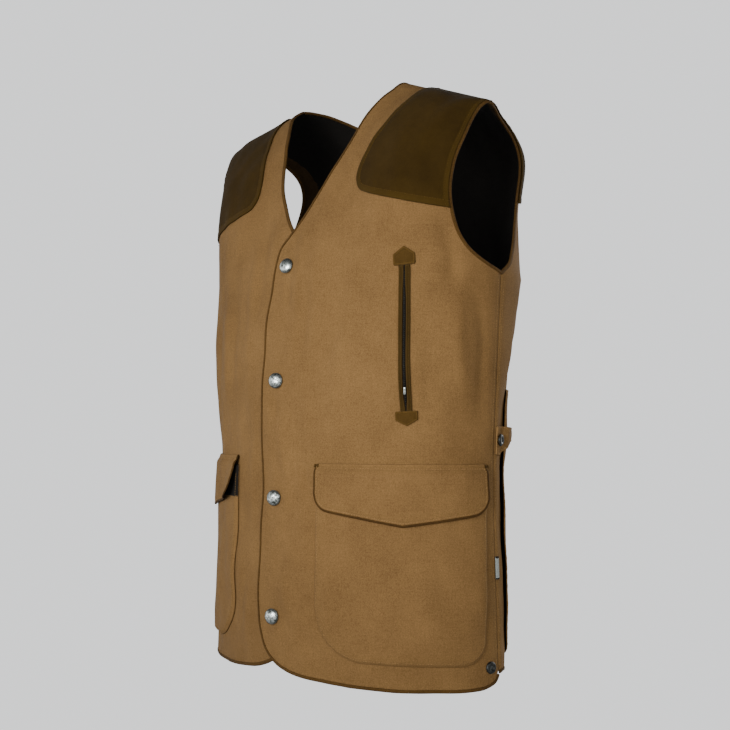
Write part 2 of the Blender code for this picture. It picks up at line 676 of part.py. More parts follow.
def build_zip():
    length = math.dist(ZIP_TOP, ZIP_FOOT)
    on_panel = flat_lift(WALL + LAID)
    half = ZIP_SLIT / 2
    strips = (("zip_lip_inner", -half - ZIP_LIP, -half - SEAM, SUEDE, LIP_WALL),
              ("zip_lip_outer", half + SEAM, half + ZIP_LIP, SUEDE, LIP_WALL),
              ("zip_chain", -half, half, BLACK, CHAIN_WALL))
    for name, near, far, colour, wall in strips:
        cloth(name, front_place, zip_strip(SEAM, length - SEAM, near, far), on_panel, colour, wall)
    wide = ZIP_TAB_WIDTH / 2
    for name, start, sign in (("zip_tab_top", 0.0, -1.0), ("zip_tab_foot", length, 1.0)):
        side = sign * ZIP_TAB_SIDE
        point = side + sign * ZIP_TAB_POINT
        corners = ((0.0, -wide), (side, -wide), (point, 0.0), (side, wide), (0.0, wide))
        outline = rounded([(*zip_frame(start + a, b)[0], 1.5) for a, b in corners])
        cloth(name, front_place, outline, on_panel, SUEDE, ZIP_TAB_WALL)
    s, t = zip_frame(SLIDER_AT * length, 0.0)[0]
    normal = form_normal("front", s, t)
    height = WALL + LAID + CHAIN_WALL + SEAM
    bpy.ops.mesh.primitive_cube_add(size=MM)
    slider = bpy.context.active_object
    slider.name = "zip_slider"
    slider.data.name = "zip_slider"
    for vertex in slider.data.vertices:
        x, y, z = vertex.co
        vertex.co = (x * SLIDER[0], y * SLIDER[1], (z + MM / 2) * SLIDER[2])
    slider.data.materials.append(make_material("zip_slider", GUNMETAL, 0.4, 1.0))
    bevel = slider.modifiers.new("Rounding", "BEVEL")
    bevel.width = SLIDER_ROUND * MM
    bevel.segments = 1
    slider.matrix_world = on_axis(cloth_point("front", s, t, np.array(height)), normal)
    for collection in list(slider.users_collection):
        collection.objects.unlink(slider)
    GILET.objects.link(slider)


# Snap caps, as (radius, height) from the middle of the dome to the middle of the base
CAP = ((0.0, 4.3), (3.6, 4.0), (6.6, 3.0), (8.6, 1.5), (9.3, 0.5), (9.0, 0.0), (4.0, -0.2), (3.6, -1.9),
       (0.0, -1.9))
SMALL_CAP = ((0.0, 2.6), (2.6, 2.5), (3.4, 2.0), (4.4, 2.4), (5.9, 2.2), (6.9, 1.0), (6.8, 0.0),
             (0.0, 0.0))
CAP_STEPS = 16
SMALL_CAP_STEPS = 14


def leant(normal, angle):
    """The normal turned about the upright towards the wearer's left."""
    x, y, z = normal
    return np.array((x * math.cos(angle) - y * math.sin(angle), x * math.sin(angle) + y * math.cos(angle), z))


def build_snaps():
    for k in range(SNAP_COUNT):
        t = t_of_z(SNAP_TOP_Z - k * SNAP_PITCH)
        height = left_lift(SNAP_S, t) + WALL + SNAP_SEAT
        point = cloth_point("front", SNAP_S, t, height)
        matrix = on_axis(point, leant(form_normal("front", SNAP_S, t), SNAP_LEAN))
        turned(f"snap_{k + 1}", CAP, CAP_STEPS, matrix, NICKEL, 0.35, 1.0)
    for name, flip in (("left", 1.0), ("right", -1.0)):
        s, t = HEM_SNAP
        point = cloth_point("front", s * flip, t, np.array(WALL + SEAM))
        matrix = on_axis(point, form_normal("front", s * flip, t))
        turned(f"hem_snap_{name}", SMALL_CAP, SMALL_CAP_STEPS, matrix, GUNMETAL, 0.4, 1.0)
        s, t = TAB_SNAP
        point, normal = girdle_frame(name, s, t)
        turned(f"tab_snap_{name}", SMALL_CAP, SMALL_CAP_STEPS, on_axis(point, normal), GUNMETAL, 0.4, 1.0)


def girdle_frame(name, s, t):
    """Point on a side tab's outer face and the tab's own normal there."""
    def top(a, b):
        return girdle_point(name, np.array([a]), np.array([b]), tab_lift(a, b) + WALL)[0]
    across = top(s + 5.0, t) - top(s - 5.0, t)
    along = top(s, t + 5.0) - top(s, t - 5.0)
    normal = np.cross(across, along) * (1.0 if name == "left" else -1.0)
    normal = normal / np.linalg.norm(normal)
    return top(s, t) + normal * TAB_SNAP_GAP, normal


def build_sides():
    for name in ("left", "right"):
        place = (lambda side: lambda s, t, lift: girdle_point(side, s, t, lift))(name)
        cloth(f"side_tab_{name}", place, rounded(TAB, 12.0), tab_lift, CANVAS,
              lattice=(np.arange(TAB[0][0], TAB[-1][0], TAB_COLUMN), np.array(TAB_ROWS)), clear=4.0)
    place = (lambda s, t, lift: girdle_point("left", s, t, lift))
    cloth("side_label", place, rounded(LABEL, 8.0), flat_lift(WALL + LAID), PALE, LABEL_WALL)


def build_pouch():
    outline = rounded(POUCH)
    cloth("game_pouch", back_place, outline, pouch_lift, CANVAS)


for old in list(bpy.data.objects):
    bpy.data.objects.remove(old, do_unlink=True)
GILET = bpy.data.collections.new("hunting_gilet")
bpy.context.scene.collection.children.link(GILET)
build_panels()
build_patches()
build_bindings()
build_pockets()
build_zip()
build_snaps()
build_sides()
build_pouch()
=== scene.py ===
# %% [markdown]
# # A hunting gilet in its worn shape
# The gilet is a hollow shell of sewn cloth: two fronts and a back in brown canvas, suede
# patches on the shoulders, a suede-lipped zip on the chest, pockets with pointed flaps and a
# game pouch behind. The CAD model gives the true sizes, and this script dresses each of its
# pieces in fine cloth, stitches and metal. Lengths below are millimetres unless a name says
# otherwise, and MM turns them into Blender's metres.

import math
from collections import namedtuple

import bpy
import numpy as np
from mathutils import Matrix, Vector
from mathutils.geometry import delaunay_2d_cdt


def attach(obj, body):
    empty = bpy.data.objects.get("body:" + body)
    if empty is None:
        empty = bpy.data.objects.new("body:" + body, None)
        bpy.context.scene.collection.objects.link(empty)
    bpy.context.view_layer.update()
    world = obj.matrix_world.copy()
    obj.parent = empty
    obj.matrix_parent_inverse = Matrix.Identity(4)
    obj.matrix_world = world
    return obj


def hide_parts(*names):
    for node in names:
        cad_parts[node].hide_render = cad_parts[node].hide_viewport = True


MM = 0.001
BODY = "root"
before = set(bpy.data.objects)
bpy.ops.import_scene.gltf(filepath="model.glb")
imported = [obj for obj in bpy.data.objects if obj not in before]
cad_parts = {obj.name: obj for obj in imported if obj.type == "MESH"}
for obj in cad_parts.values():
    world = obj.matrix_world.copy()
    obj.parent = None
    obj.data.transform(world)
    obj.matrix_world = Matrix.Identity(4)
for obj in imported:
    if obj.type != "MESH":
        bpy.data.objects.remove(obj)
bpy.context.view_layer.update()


def linked(name, data):
    """A new object of a mesh, curve, lamp or camera, linked into the scene."""
    made = bpy.data.objects.new(name, data)
    bpy.context.collection.objects.link(made)
    return made


def unit(vectors):
    """The vectors at length one."""
    return vectors / np.linalg.norm(vectors, axis=-1, keepdims=True)


print("CAD nodes:", len(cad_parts))

# %% [markdown]
# ## Camera
# The photograph was taken with a longish lens from the wearer's front left, a little below
# the chest and tilted slightly upwards. The numbers were worked out from the garment's own
# sizes, so the model's edges fall where the photograph shows them.

# %% Camera
IMAGE_SIDE = 730
CAMERA_AZIMUTH = math.radians(45.44)
CAMERA_PITCH = math.radians(3.24)
CAMERA_DISTANCE = 1515.0
CAMERA_HEIGHT = -397.6
CAMERA_ASIDE = 15.7
FOCAL_PIXELS = 1184.7


def place_camera():
    back = Vector((math.sin(CAMERA_AZIMUTH), -math.cos(CAMERA_AZIMUTH), 0.0))
    right = Vector((math.cos(CAMERA_AZIMUTH), math.sin(CAMERA_AZIMUTH), 0.0))
    place = back * CAMERA_DISTANCE + right * CAMERA_ASIDE + Vector((0.0, 0.0, CAMERA_HEIGHT))
    ahead = Vector((0.0, 0.0, math.sin(CAMERA_PITCH))) - back * math.cos(CAMERA_PITCH)
    data = bpy.data.cameras.new("camera")
    data.sensor_width = 36.0
    data.lens = data.sensor_width * FOCAL_PIXELS / IMAGE_SIDE
    camera = linked("camera", data)
    turn = ahead.to_track_quat("-Z", "Y").to_matrix().to_4x4()
    camera.matrix_world = Matrix.Translation(place * MM) @ turn
    bpy.context.scene.camera = camera
    return camera


print("camera lens mm:", round(place_camera().data.lens, 1))

# %% [markdown]
# ## Light
# Cloth shows its folds in light that is soft but not quite even. A large key lamp with a grid,
# so it is brightest straight ahead, is aimed at the chest from the front, and its light falls
# off towards shoulders and hem as in the photograph. The sky is a pale grey wall all round,
# darker above and below, because the tops of the shoulders are the darkest part of the picture.

# %% Light
Lamp = namedtuple("Lamp", "name place aim size watts spread")
LAMPS = (
    Lamp("key", (0.34, -1.26, -0.16), (0.08, -0.12, -0.30), 0.7, 3.7, 60.0),
    Lamp("fill", (2.0, -0.75, -0.1), (0.0, 0.0, -0.28), 1.2, 9.5, 150.0),
    Lamp("rim", (0.5, 2.2, 0.4), (0.0, 0.0, -0.28), 1.2, 26.0, 150.0),
)
SKY = (0.93, 0.94, 0.95)
# Brightness by how far up the way looked in points, from -1 straight down to 1 straight up
SKY_BANDS = ((-1.0, 0.2), (-0.42, 0.2), (-0.27, 1.3), (0.36, 1.3), (0.52, 0.1), (1.0, 0.08))
# The same by how far it points to the camera's left
LEFT = (-0.70, -0.71, 0.0)
LEFT_BANDS = ((-1.0, 0.5), (-0.38, 1.0), (0.38, 1.0), (1.0, 1.5))


def banded(tree, value, bands):
    """Grey whose brightness follows a value from -1 to 1."""
    spread = tree.nodes.new("ShaderNodeMapRange")
    spread.inputs["From Min"].default_value = -1.0
    tree.links.new(value, spread.inputs[0])
    shade = tree.nodes.new("ShaderNodeValToRGB")
    ramp = shade.color_ramp
    while len(ramp.elements) < len(bands):
        ramp.elements.new(0.5)
    for element, (level, _) in zip(ramp.elements, bands):
        element.position = (level + 1) / 2
    for element, (_, bright) in zip(ramp.elements, bands):
        element.color = (bright, bright, bright, 1.0)
    tree.links.new(spread.outputs[0], shade.inputs[0])
    return shade.outputs[0]


def light_studio():
    for lamp in LAMPS:
        data = bpy.data.lights.new(lamp.name, "AREA")
        data.size = lamp.size
        data.energy = lamp.watts
        data.spread = math.radians(lamp.spread)
        place = Vector(lamp.place)
        turn = (Vector(lamp.aim) - place).to_track_quat("-Z", "Y")
        linked(lamp.name, data).matrix_world = Matrix.Translation(place) @ turn.to_matrix().to_4x4()
    world = bpy.data.worlds.new("sky")
    world.use_nodes = True
    tree = world.node_tree
    background = tree.nodes["Background"]
    background.inputs["Color"].default_value = (*SKY, 1.0)
    look = tree.nodes.new("ShaderNodeTexCoord").outputs["Generated"]
    parts = []
    for way, bands in (((0.0, 0.0, 1.0), SKY_BANDS), (LEFT, LEFT_BANDS)):
        along = tree.nodes.new("ShaderNodeVectorMath")
        along.operation = "DOT_PRODUCT"
        along.inputs[1].default_value = way
        tree.links.new(look, along.inputs[0])
        parts.append(banded(tree, along.outputs["Value"], bands))
    strength = tree.nodes.new("ShaderNodeMath")
    strength.operation = "MULTIPLY"
    for part, socket in zip(parts, strength.inputs):
        tree.links.new(part, socket)
    tree.links.new(strength.outputs[0], background.inputs["Strength"])
    bpy.context.scene.world = world


light_studio()
print("lamps:", [lamp.name for lamp in LAMPS])

# %% [markdown]
# ## The body form
# Every cloth piece lies on one form, so pieces fit each other without measuring. A point on
# it has a girth s, measured round the waist from the centre, and a height t: below 0 it is
# the skirt, above 0 the ribs rise over chest and shoulder blades to the shoulder seams. This
# could be a sculpted mesh, but a formula gives the same point to every layer.

# %% Smooth curves
def spline(x, knots, values):
    """Smooth curve through the knots, with Catmull-Rom slopes."""
    knots = np.asarray(knots, float)
    values = np.asarray(values, float)
    slopes = np.gradient(values, knots)
    x = np.clip(x, knots[0], knots[-1])
    i = np.clip(np.searchsorted(knots, x) - 1, 0, len(knots) - 2)
    h = knots[i + 1] - knots[i]
    u = (x - knots[i]) / h
    start = (1 + 2 * u) * (1 - u) ** 2 * values[i] + u * (1 - u) ** 2 * h * slopes[i]
    end = u * u * (3 - 2 * u) * values[i + 1] + u * u * (u - 1) * h * slopes[i + 1]
    return start + end


def ease(x, start, end):
    """0 before start, 1 after end, and smooth between."""
    u = np.clip((np.asarray(x, float) - start) / (end - start), 0.0, 1.0)
    return u * u * (3 - 2 * u)


print("half way up an ease:", ease(5.0, 0.0, 10.0))

# %% Sizes of the form
WAIST_HALF_WIDTH, WAIST_HALF_DEPTH = 230.0, 128.0
CHEST_Z = -215.0
HEM_Z = -685.0
SKIRT_RUN = CHEST_Z - HEM_Z
RIB_RUN = 270.0
RIB_RISE = 277.0
SEAM_Y = 8.0
NECK_X, NECK_Y, NECK_Z = 94.0, -1.0, 33.0
TIP_X, TIP_Y = 228.0, 4.0
TIP_Z_LEFT, TIP_Z_RIGHT = -18.0, 2.0
TIP_Z_BLEND = 60.0
RIB_REACH = 200.0
SQUARE_LEFT, SQUARE_RIGHT = 1.51, 1.9
SLOPE_RIGHT = 0.62
BACK_WIDTH = 236.0
BLADE_BULGE = (0.05, 0.44)
BLADE_PEAK = 12.2
BLADE_TAPER = 0.11
# How square the trunk is from rib to shoulder: a power at the centre, and what it gains
# towards the sides, which grows with its own power of the reach
FRONT_POWER, FRONT_GAIN_POWER = 1.32, 2.4
BACK_POWER, BACK_GAIN, BACK_GAIN_POWER = 1.8, 1.2, 1.5
PROBE_S, PROBE_T = 1.5, 2.0

Section = namedtuple("Section", "z half_width front_depth front_fullness back_depth back_fullness")
SECTIONS = (
    Section(-685.0, 229.0, 137.0, -0.10, 76.0, 0.04),
    Section(-570.0, 226.0, 135.0, -0.11, 71.0, 0.04),
    Section(-450.0, 223.0, 132.0, -0.08, 70.0, 0.08),
    Section(-330.0, 229.0, 130.0, 0.04, 92.0, 0.18),
    Section(-215.0, 236.0, 117.0, 0.14, 125.0, 0.30),
)


def column(name, z):
    levels = [row.z for row in SECTIONS]
    return spline(z, levels, [getattr(row, name) for row in SECTIONS])


def quarter_arc():
    """Arc length against angle on a quarter of the waist ellipse."""
    angle = np.linspace(0.0, math.pi / 2, 801)
    step = np.hypot(np.diff(WAIST_HALF_WIDTH * np.sin(angle)),
                    np.diff(WAIST_HALF_DEPTH * np.cos(angle)))
    return angle, np.concatenate(([0.0], np.cumsum(step)))


ARC_ANGLE, ARC_LENGTH = quarter_arc()
SIDE_S = ARC_LENGTH[-1]
print("girth from centre to side seam:", round(SIDE_S, 1))


# %% Points of the form
def shoulder_line(x):
    """Y and z of the shoulder seam at this x. The left shoulder hangs a little lower."""
    run = (np.abs(x) - NECK_X) / (TIP_X - NECK_X)
    tip_z = TIP_Z_LEFT + (TIP_Z_RIGHT - TIP_Z_LEFT) * ease(-x, -TIP_Z_BLEND, TIP_Z_BLEND)
    return NECK_Y + (TIP_Y - NECK_Y) * run, NECK_Z + (tip_z - NECK_Z) * run


def form_point(side, s, t):
    """Plain body form. s is girth from the centre, t is height: skirt below 0, ribs above."""
    s = np.asarray(s, float)
    t = np.asarray(t, float)
    angle = np.sign(s) * np.interp(np.abs(s), ARC_LENGTH, ARC_ANGLE)
    z = CHEST_Z + np.minimum(t, 0.0)
    depth = column(side + "_depth", z) * (1 + column(side + "_fullness", z) * np.sin(angle) ** 2)
    sign = -1.0 if side == "front" else 1.0
    x = column("half_width", z) * np.sin(angle)
    y = SEAM_Y + sign * depth * np.cos(angle)
    rise = np.clip(t / RIB_RUN, 0.0, 1.0) * math.pi / 2
    reach = np.abs(x) / RIB_REACH
    if side == "front":
        right = SQUARE_RIGHT * (1 - SLOPE_RIGHT * np.sin(rise) ** 2)
        power = FRONT_POWER + np.where(x < 0, right, SQUARE_LEFT) * reach ** FRONT_GAIN_POWER
        bulge = 0.0
    else:
        power = BACK_POWER + BACK_GAIN * np.minimum(reach, 1.0) ** BACK_GAIN_POWER
        bulge = BLADE_BULGE[0] + BLADE_BULGE[1] * reach ** 2
        x = x * (1 - BLADE_TAPER * (np.abs(x) / BACK_WIDTH) ** 4 * np.sin(2 * rise))
    size = (np.sin(rise) ** power + np.cos(rise) ** power) ** (1 / power)
    up = np.sin(rise) / size
    out = np.cos(rise) / size * (1 + bulge * BLADE_PEAK * up ** 4 * (1 - up))
    top_y, top_z = shoulder_line(x)
    above = t > 0
    y = np.where(above, top_y + (y - top_y) * out, y)
    z = np.where(above, CHEST_Z + (top_z - CHEST_Z) * up, z)
    return np.stack(np.broadcast_arrays(x, y, z), -1)


def form_normal(side, s, t):
    """Outward unit normal of the plain form."""
    across = form_point(side, s + PROBE_S, t) - form_point(side, s - PROBE_S, t)
    above = form_point(side, s, np.minimum(t + PROBE_T, RIB_RUN))
    along = above - form_point(side, s, t - PROBE_T)
    normal = np.cross(across, along)
    if side == "back":
        normal = -normal
    return unit(normal)


print("hem at the side seam:", form_point("front", SIDE_S, -SKIRT_RUN).round())

# %% [markdown]
# ## Folds, creases and unevenness
# Worn canvas is never smooth. A few broad folds hang from chest and shoulder blades, narrower
# creases run where the cloth is pulled, and all of it waves a little. A cloth simulation could
# make folds, but not these ones, so each is given one by one as a soft ridge or trough on the
# form. Every layer adds the same relief, so a pocket bends with the panel under it.

# %% Folds and creases
Fold = namedtuple("Fold", "side s0 t0 s1 t1 bow width height")


def folds_of(side, *rows):
    return [Fold(side, *row) for row in rows]


FOLDS = (
    *folds_of(
        "front",
        (236, 30, 222, -205, 0, 20, 2.6),
        (128, -470, 150, -300, 0, 26, 2.4),
        (-206, 20, -190, -200, 0, 22, 2.6),
        (-70, -300, -52, -470, 0, 26, 2.2),
    ),
    *folds_of(
        "back",
        (-70, 70, -40, -120, 0, 27, 3.4),
        (64, 70, 92, -110, 0, 27, 3.6),
        (186, 30, 204, -120, 0, 22, 2.6),
    ),
)
CREASES = (
    *folds_of(
        "front",
        # Pull lines below the top snap and beside the closing
        (6, 28, 12, -42, 3, 5, -1.5),
        (22, 60, 34, -70, 5, 9, 1.3),
        (42, 20, 30, -120, -6, 9, -1.2),
        (60, 50, 50, -110, 6, 11, 1.2),
        (84, 30, 74, -140, -6, 12, -1.1),
        (100, -30, 88, -190, 6, 12, 1),
        (-2, -128, 0, -176, 2, 4.5, -1.3),
        (12, -150, 22, -250, 4, 8, 1.1),
        (26, -180, 30, -300, -4, 8, -0.9),
        (14, -330, 40, -420, 6, 10, 1.1),
        (34, -400, 70, -462, -4, 10, -1.1),
        # Under the left armhole and towards the side
        (206, 60, 226, -30, -8, 9, -1.6),
        (236, -10, 246, -150, 6, 9, 1.5),
        (256, -20, 262, -170, -5, 7, -1.6),
        (206, -60, 214, -190, 5, 10, -1.2),
        (150, 40, 140, -60, 6, 12, 0.9),
        # Skirt, over and under the left pocket
        (46, -212, 54, -262, 2, 5, -1.5),
        (86, -320, 96, -430, 5, 11, 1),
        (190, -330, 204, -430, -6, 12, 1),
        (120, -448, 190, -456, 4, 8, -1),
        # Right front, much of it seen edge on
        (-46, 60, -54, -60, 5, 9, -1.3),
        (-78, 40, -70, -120, -6, 11, 1.4),
        (-104, 10, -110, -150, 5, 10, -1.4),
        (-140, 30, -128, -170, -6, 12, 1.4),
        (-168, -20, -160, -190, 6, 10, -1.4),
        (-44, -160, -52, -300, 4, 9, 1.1),
        (-66, -330, -74, -450, -4, 7, -1.2),
        (-236, -20, -244, -180, 6, 10, 1.6),
        (-150, -300, -140, -430, 6, 12, 1.1),
    ),
    *folds_of(
        "back",
        # Back, between the blades, over the waist and below the armholes
        (-20, 20, -6, -110, 6, 12, -2),
        (20, -10, 44, -118, -6, 11, -1.6),
        (-120, 60, -96, -110, 8, 13, -2),
        (130, 60, 146, -118, -8, 13, -2),
        (-204, 40, -214, -140, 6, 11, -2),
        (232, 10, 236, -170, -5, 9, -1.6),
        (-160, -60, -120, -106, 5, 9, 1.5),
        (60, -84, 150, -96, -5, 8, 1.2),
        (-150, -330, -136, -440, 6, 14, 1.6),
        (-40, -260, -60, -420, -8, 16, -1.6),
        (60, -300, 52, -440, 6, 15, 1.6),
        (150, -250, 166, -430, 6, 13, -1.4),
    ),
)
FOLD_FADE = 0.4
CREASE_DEPTH = 2.2
WAVE_SEED = 11
WAVE_COUNT = 26
WAVE_LENGTHS = (26.0, 150.0)
WAVE_SLOPE = 0.0032
WAVE_TURN = 0.7
WAVE_SIDE_CALM, WAVE_TOP_CALM = 30.0, 40.0
# Places of the front snaps, since no crease runs under one
SNAP_S = 2.0
SNAP_TOP_Z = -196.5
SNAP_PITCH = 139.8
SNAP_COUNT = 4
SNAP_CALM = 17.0


def t_of_z(z):
    """Height t of a level z near the centre front."""
    if z <= CHEST_Z:
        return z - CHEST_Z
    return RIB_RUN * 2 / math.pi * (z - CHEST_Z) / RIB_RISE


def fold_relief(side, s, t, folds):
    """Height of soft folds, which fade towards their ends."""
    total = np.zeros(np.broadcast(s, t).shape)
    for fold in folds:
        if fold.side != side:
            continue
        run = np.array((fold.s1 - fold.s0, fold.t1 - fold.t0))
        length = np.linalg.norm(run)
        along = ((s - fold.s0) * run[0] + (t - fold.t0) * run[1]) / length
        away = ((s - fold.s0) * run[1] - (t - fold.t0) * run[0]) / length
        away = away - fold.bow * 4 * (along / length) * (1 - along / length)
        fade = ease(along, 0.0, FOLD_FADE * length) * ease(-along, -length,
                                                           (FOLD_FADE - 1) * length)
        total = total + fold.height * fade * np.exp(-(away / fold.width) ** 2)
    return total


def cloth_waves():
    """Directions, lengths and phases of the low waves that run through the cloth."""
    rng = np.random.default_rng(WAVE_SEED)
    length = np.exp(rng.uniform(*np.log(WAVE_LENGTHS), WAVE_COUNT))
    turn = rng.normal(0.0, WAVE_TURN, WAVE_COUNT)
    phase = rng.uniform(0.0, 2 * math.pi, (2, WAVE_COUNT))
    return length, turn, phase


def wave_relief(side, s, t):
    """Low unevenness, which dies out at the side and shoulder seams."""
    length, turn, phase = cloth_waves()
    k = 2 * math.pi / length
    start = phase[0 if side == "front" else 1]
    total = np.zeros(np.broadcast(s, t).shape)
    for i in range(WAVE_COUNT):
        total = total + WAVE_SLOPE * length[i] * np.sin(
            k[i] * (math.cos(turn[i]) * s + math.sin(turn[i]) * t) + start[i])
    return total * ease(SIDE_S - np.abs(s), 0.0, WAVE_SIDE_CALM) * ease(RIB_RUN - t, 0.0,
                                                                        WAVE_TOP_CALM)


def relief(side, s, t):
    """Everything that lifts the cloth off the plain form. It lies calm round the front snaps."""
    creases = fold_relief(side, s, t, CREASES) * CREASE_DEPTH
    if side == "front":
        for k in range(SNAP_COUNT):
            away = np.hypot(s - SNAP_S, t - t_of_z(SNAP_TOP_Z - k * SNAP_PITCH))
            creases = creases * (1 - np.exp(-(away / SNAP_CALM) ** 4))
    return fold_relief(side, s, t, FOLDS) + creases + wave_relief(side, s, t)


print("folds and creases:", len(FOLDS), len(CREASES))


# %% Points of the cloth
def cloth_point(side, s, t, lift):
    """Point of a piece that lies lift above the panels' inner face."""
    s = np.asarray(s, float)
    t = np.asarray(t, float)
    return form_point(side, s, t) + form_normal(side, s, t) * (lift + relief(side, s, t))[..., None]


def front_place(s, t, lift):
    return cloth_point("front", s, t, lift)


def back_place(s, t, lift):
    return cloth_point("back", s, t, lift)


def girdle_place(side):
    """As cloth_point, but s runs on past the side seam on to the back."""
    mirror = 1.0 if side == "left" else -1.0

    def place(s, t, lift):
        s = np.asarray(s, float)
        t = np.broadcast_to(np.asarray(t, float), s.shape)
        lift = np.broadcast_to(lift, s.shape)
        front = cloth_point("front", mirror * np.minimum(s, SIDE_S), t, lift)
        back = cloth_point("back", mirror * np.minimum(2 * SIDE_S - s, SIDE_S), t, lift)
        return np.where((s <= SIDE_S)[..., None], front, back)
    return place


print("top of the breastbone:", front_place(0.0, 38.0, np.array(0.0)).round(1))

# %% [markdown]
# ## Outlines
# A tailor draws each piece flat. So does this script: an outline is a closed path of (s, t)
# points, made of smooth curves and straight runs, or of corners that are rounded by arcs.

# %% Outline helpers
CLOTH_STEP = 4.0
FINE_STEP = 2.6
SAME_POINT = 0.3
CHUNK = 1500
CROWDED = 0.93


def smooth_path(points, step=CLOTH_STEP):
    """Points along a smooth curve through the given ones, about step apart."""
    points = np.asarray(points, float)
    run = np.concatenate(([0.0], np.cumsum(np.linalg.norm(np.diff(points, axis=0), axis=1))))
    count = max(2, int(round(run[-1] / step)) + 1)
    at = np.linspace(0.0, run[-1], count)
    return np.stack([spline(at, run, points[:, k]) for k in range(2)], -1)


def straight(start, end, step=CLOTH_STEP):
    count = max(2, int(round(math.dist(start, end) / step)) + 1)
    return np.linspace(start, end, count)


def joined(*runs):
    """One closed outline from runs that share their end points."""
    points = []
    for run in runs:
        for p in run:
            if not points or math.dist(points[-1], p) > SAME_POINT:
                points.append(tuple(p))
    if math.dist(points[0], points[-1]) < SAME_POINT:
        points.pop()
    return np.array(points)


def rounded(corners, step=CLOTH_STEP):
    """Closed outline with each corner (s, t, radius) rounded by an arc."""
    runs = []
    count = len(corners)
    for k, (s, t, radius) in enumerate(corners):
        here = Vector((s, t))
        before = (Vector(corners[k - 1][:2]) - here).normalized()
        after = (Vector(corners[(k + 1) % count][:2]) - here).normalized()
        half = before.angle(after) / 2
        reach = radius / math.tan(half)
        centre = here + (before + after).normalized() * (radius / math.sin(half))
        start = here + before * reach
        end = here + after * reach
        a0 = math.atan2(*(start - centre).yx)
        turn = math.remainder(math.atan2(*(end - centre).yx) - a0, 2 * math.pi)
        pieces = max(2, round(abs(turn) * radius / step + abs(turn) / 0.5))
        angles = [a0 + turn * i / pieces for i in range(pieces + 1)]
        runs.append([centre + Vector((math.cos(a), math.sin(a))) * radius for a in angles])
    outline = []
    for k, run in enumerate(runs):
        outline.extend(tuple(p) for p in run)
        following = runs[(k + 1) % count][0]
        outline.extend(tuple(p) for p in straight(run[-1], following, step)[1:-1])
    return joined(outline)


def mirrored(rows):
    return [(-row[0], *row[1:]) for row in rows]


def path_distance(points, path, closed=True):
    """How far each point is from the path, and how far along the path its nearest spot lies."""
    a = path if closed else path[:-1]
    run = (np.roll(path, -1, axis=0) if closed else path[1:]) - a
    length = np.linalg.norm(run, axis=1)
    start = np.concatenate(([0.0], np.cumsum(length)[:-1]))
    away = []
    along = []
    for first in range(0, max(1, len(points)), CHUNK):
        dx = points[first:first + CHUNK, 0:1] - a[:, 0]
        dy = points[first:first + CHUNK, 1:2] - a[:, 1]
        u = np.clip((dx * run[:, 0] + dy * run[:, 1]) / length ** 2, 0.0, 1.0)
        gap = (dx - run[:, 0] * u) ** 2 + (dy - run[:, 1] * u) ** 2
        nearest = gap.argmin(axis=1)
        rows = np.arange(len(nearest))
        away.append(np.sqrt(gap[rows, nearest]))
        along.append(start[nearest] + (u * length)[rows, nearest])
    return np.concatenate(away), np.concatenate(along)


def inside(points, outline):
    """True for each point within the closed outline."""
    x, y = points[:, 0:1], points[:, 1:2]
    ax, ay = outline[:, 0], outline[:, 1]
    bx, by = np.roll(ax, -1), np.roll(ay, -1)
    crosses = ((ay > y) != (by > y)) & (x < (bx - ax) * (y - ay) / (by - ay + 1e-12) + ax)
    return crosses.sum(axis=1) % 2 == 1


def inset(path, distance, closed=True):
    """The path moved inwards, or to its left where it is open. Crowded points are left out."""
    if closed:
        run = np.roll(path, -1, axis=0) - np.roll(path, 1, axis=0)
        area = (path[:, 0] * np.roll(path[:, 1], -1) - np.roll(path[:, 0], -1) * path[:, 1]).sum()
        distance = math.copysign(distance, area)
    else:
        run = np.gradient(path, axis=0)
    run = unit(run)
    moved = path + np.stack((-run[:, 1], run[:, 0]), -1) * distance
    away, _ = path_distance(moved, path, closed)
    return moved[away > CROWDED * abs(distance)]


square = rounded(((0, 0, 9), (60, 0, 9), (60, 60, 9), (0, 60, 9)))
print("a square's inset corner:", inset(square, 3.0)[0].round(1))

# %% [markdown]
# ## Finishes
# Canvas, suede, tape and metal are procedural, so they stay sharp at any distance. Effects
# that several finishes share are node groups: a woven surface, a mottled tone and a napped
# surface. A group only puts out numbers, and each material keeps its own Principled shader.

# %% Node helpers
def add(tree, kind, *inputs, **settings):
    """A new node. Its inputs are given in order as values or sockets, None to leave one."""
    made = tree.nodes.new(kind)
    for name, value in settings.items():
        setattr(made, name, value)
    for socket, value in zip(made.inputs, inputs):
        if isinstance(value, bpy.types.NodeSocket):
            tree.links.new(value, socket)
        elif value is not None:
            socket.default_value = value
    return made


def maths(tree, operation, *inputs):
    return add(tree, "ShaderNodeMath", *inputs, operation=operation).outputs[0]


def blended(tree, share, first, second, mode="MIX"):
    """A colour between two others."""
    mix = add(tree, "ShaderNodeMix", data_type="RGBA", blend_type=mode)
    for name, value in (("Factor_Float", share), ("A_Color", first), ("B_Color", second)):
        socket = next(item for item in mix.inputs if item.identifier == name)
        if isinstance(value, bpy.types.NodeSocket):
            tree.links.new(value, socket)
        else:
            socket.default_value = value if name == "Factor_Float" else (*value, 1.0)
    return next(item for item in mix.outputs if item.identifier == "Result_Color")


def ranged(tree, value, low, high, to_low, to_high):
    return add(tree, "ShaderNodeMapRange", value, low, high, to_low, to_high).outputs[0]


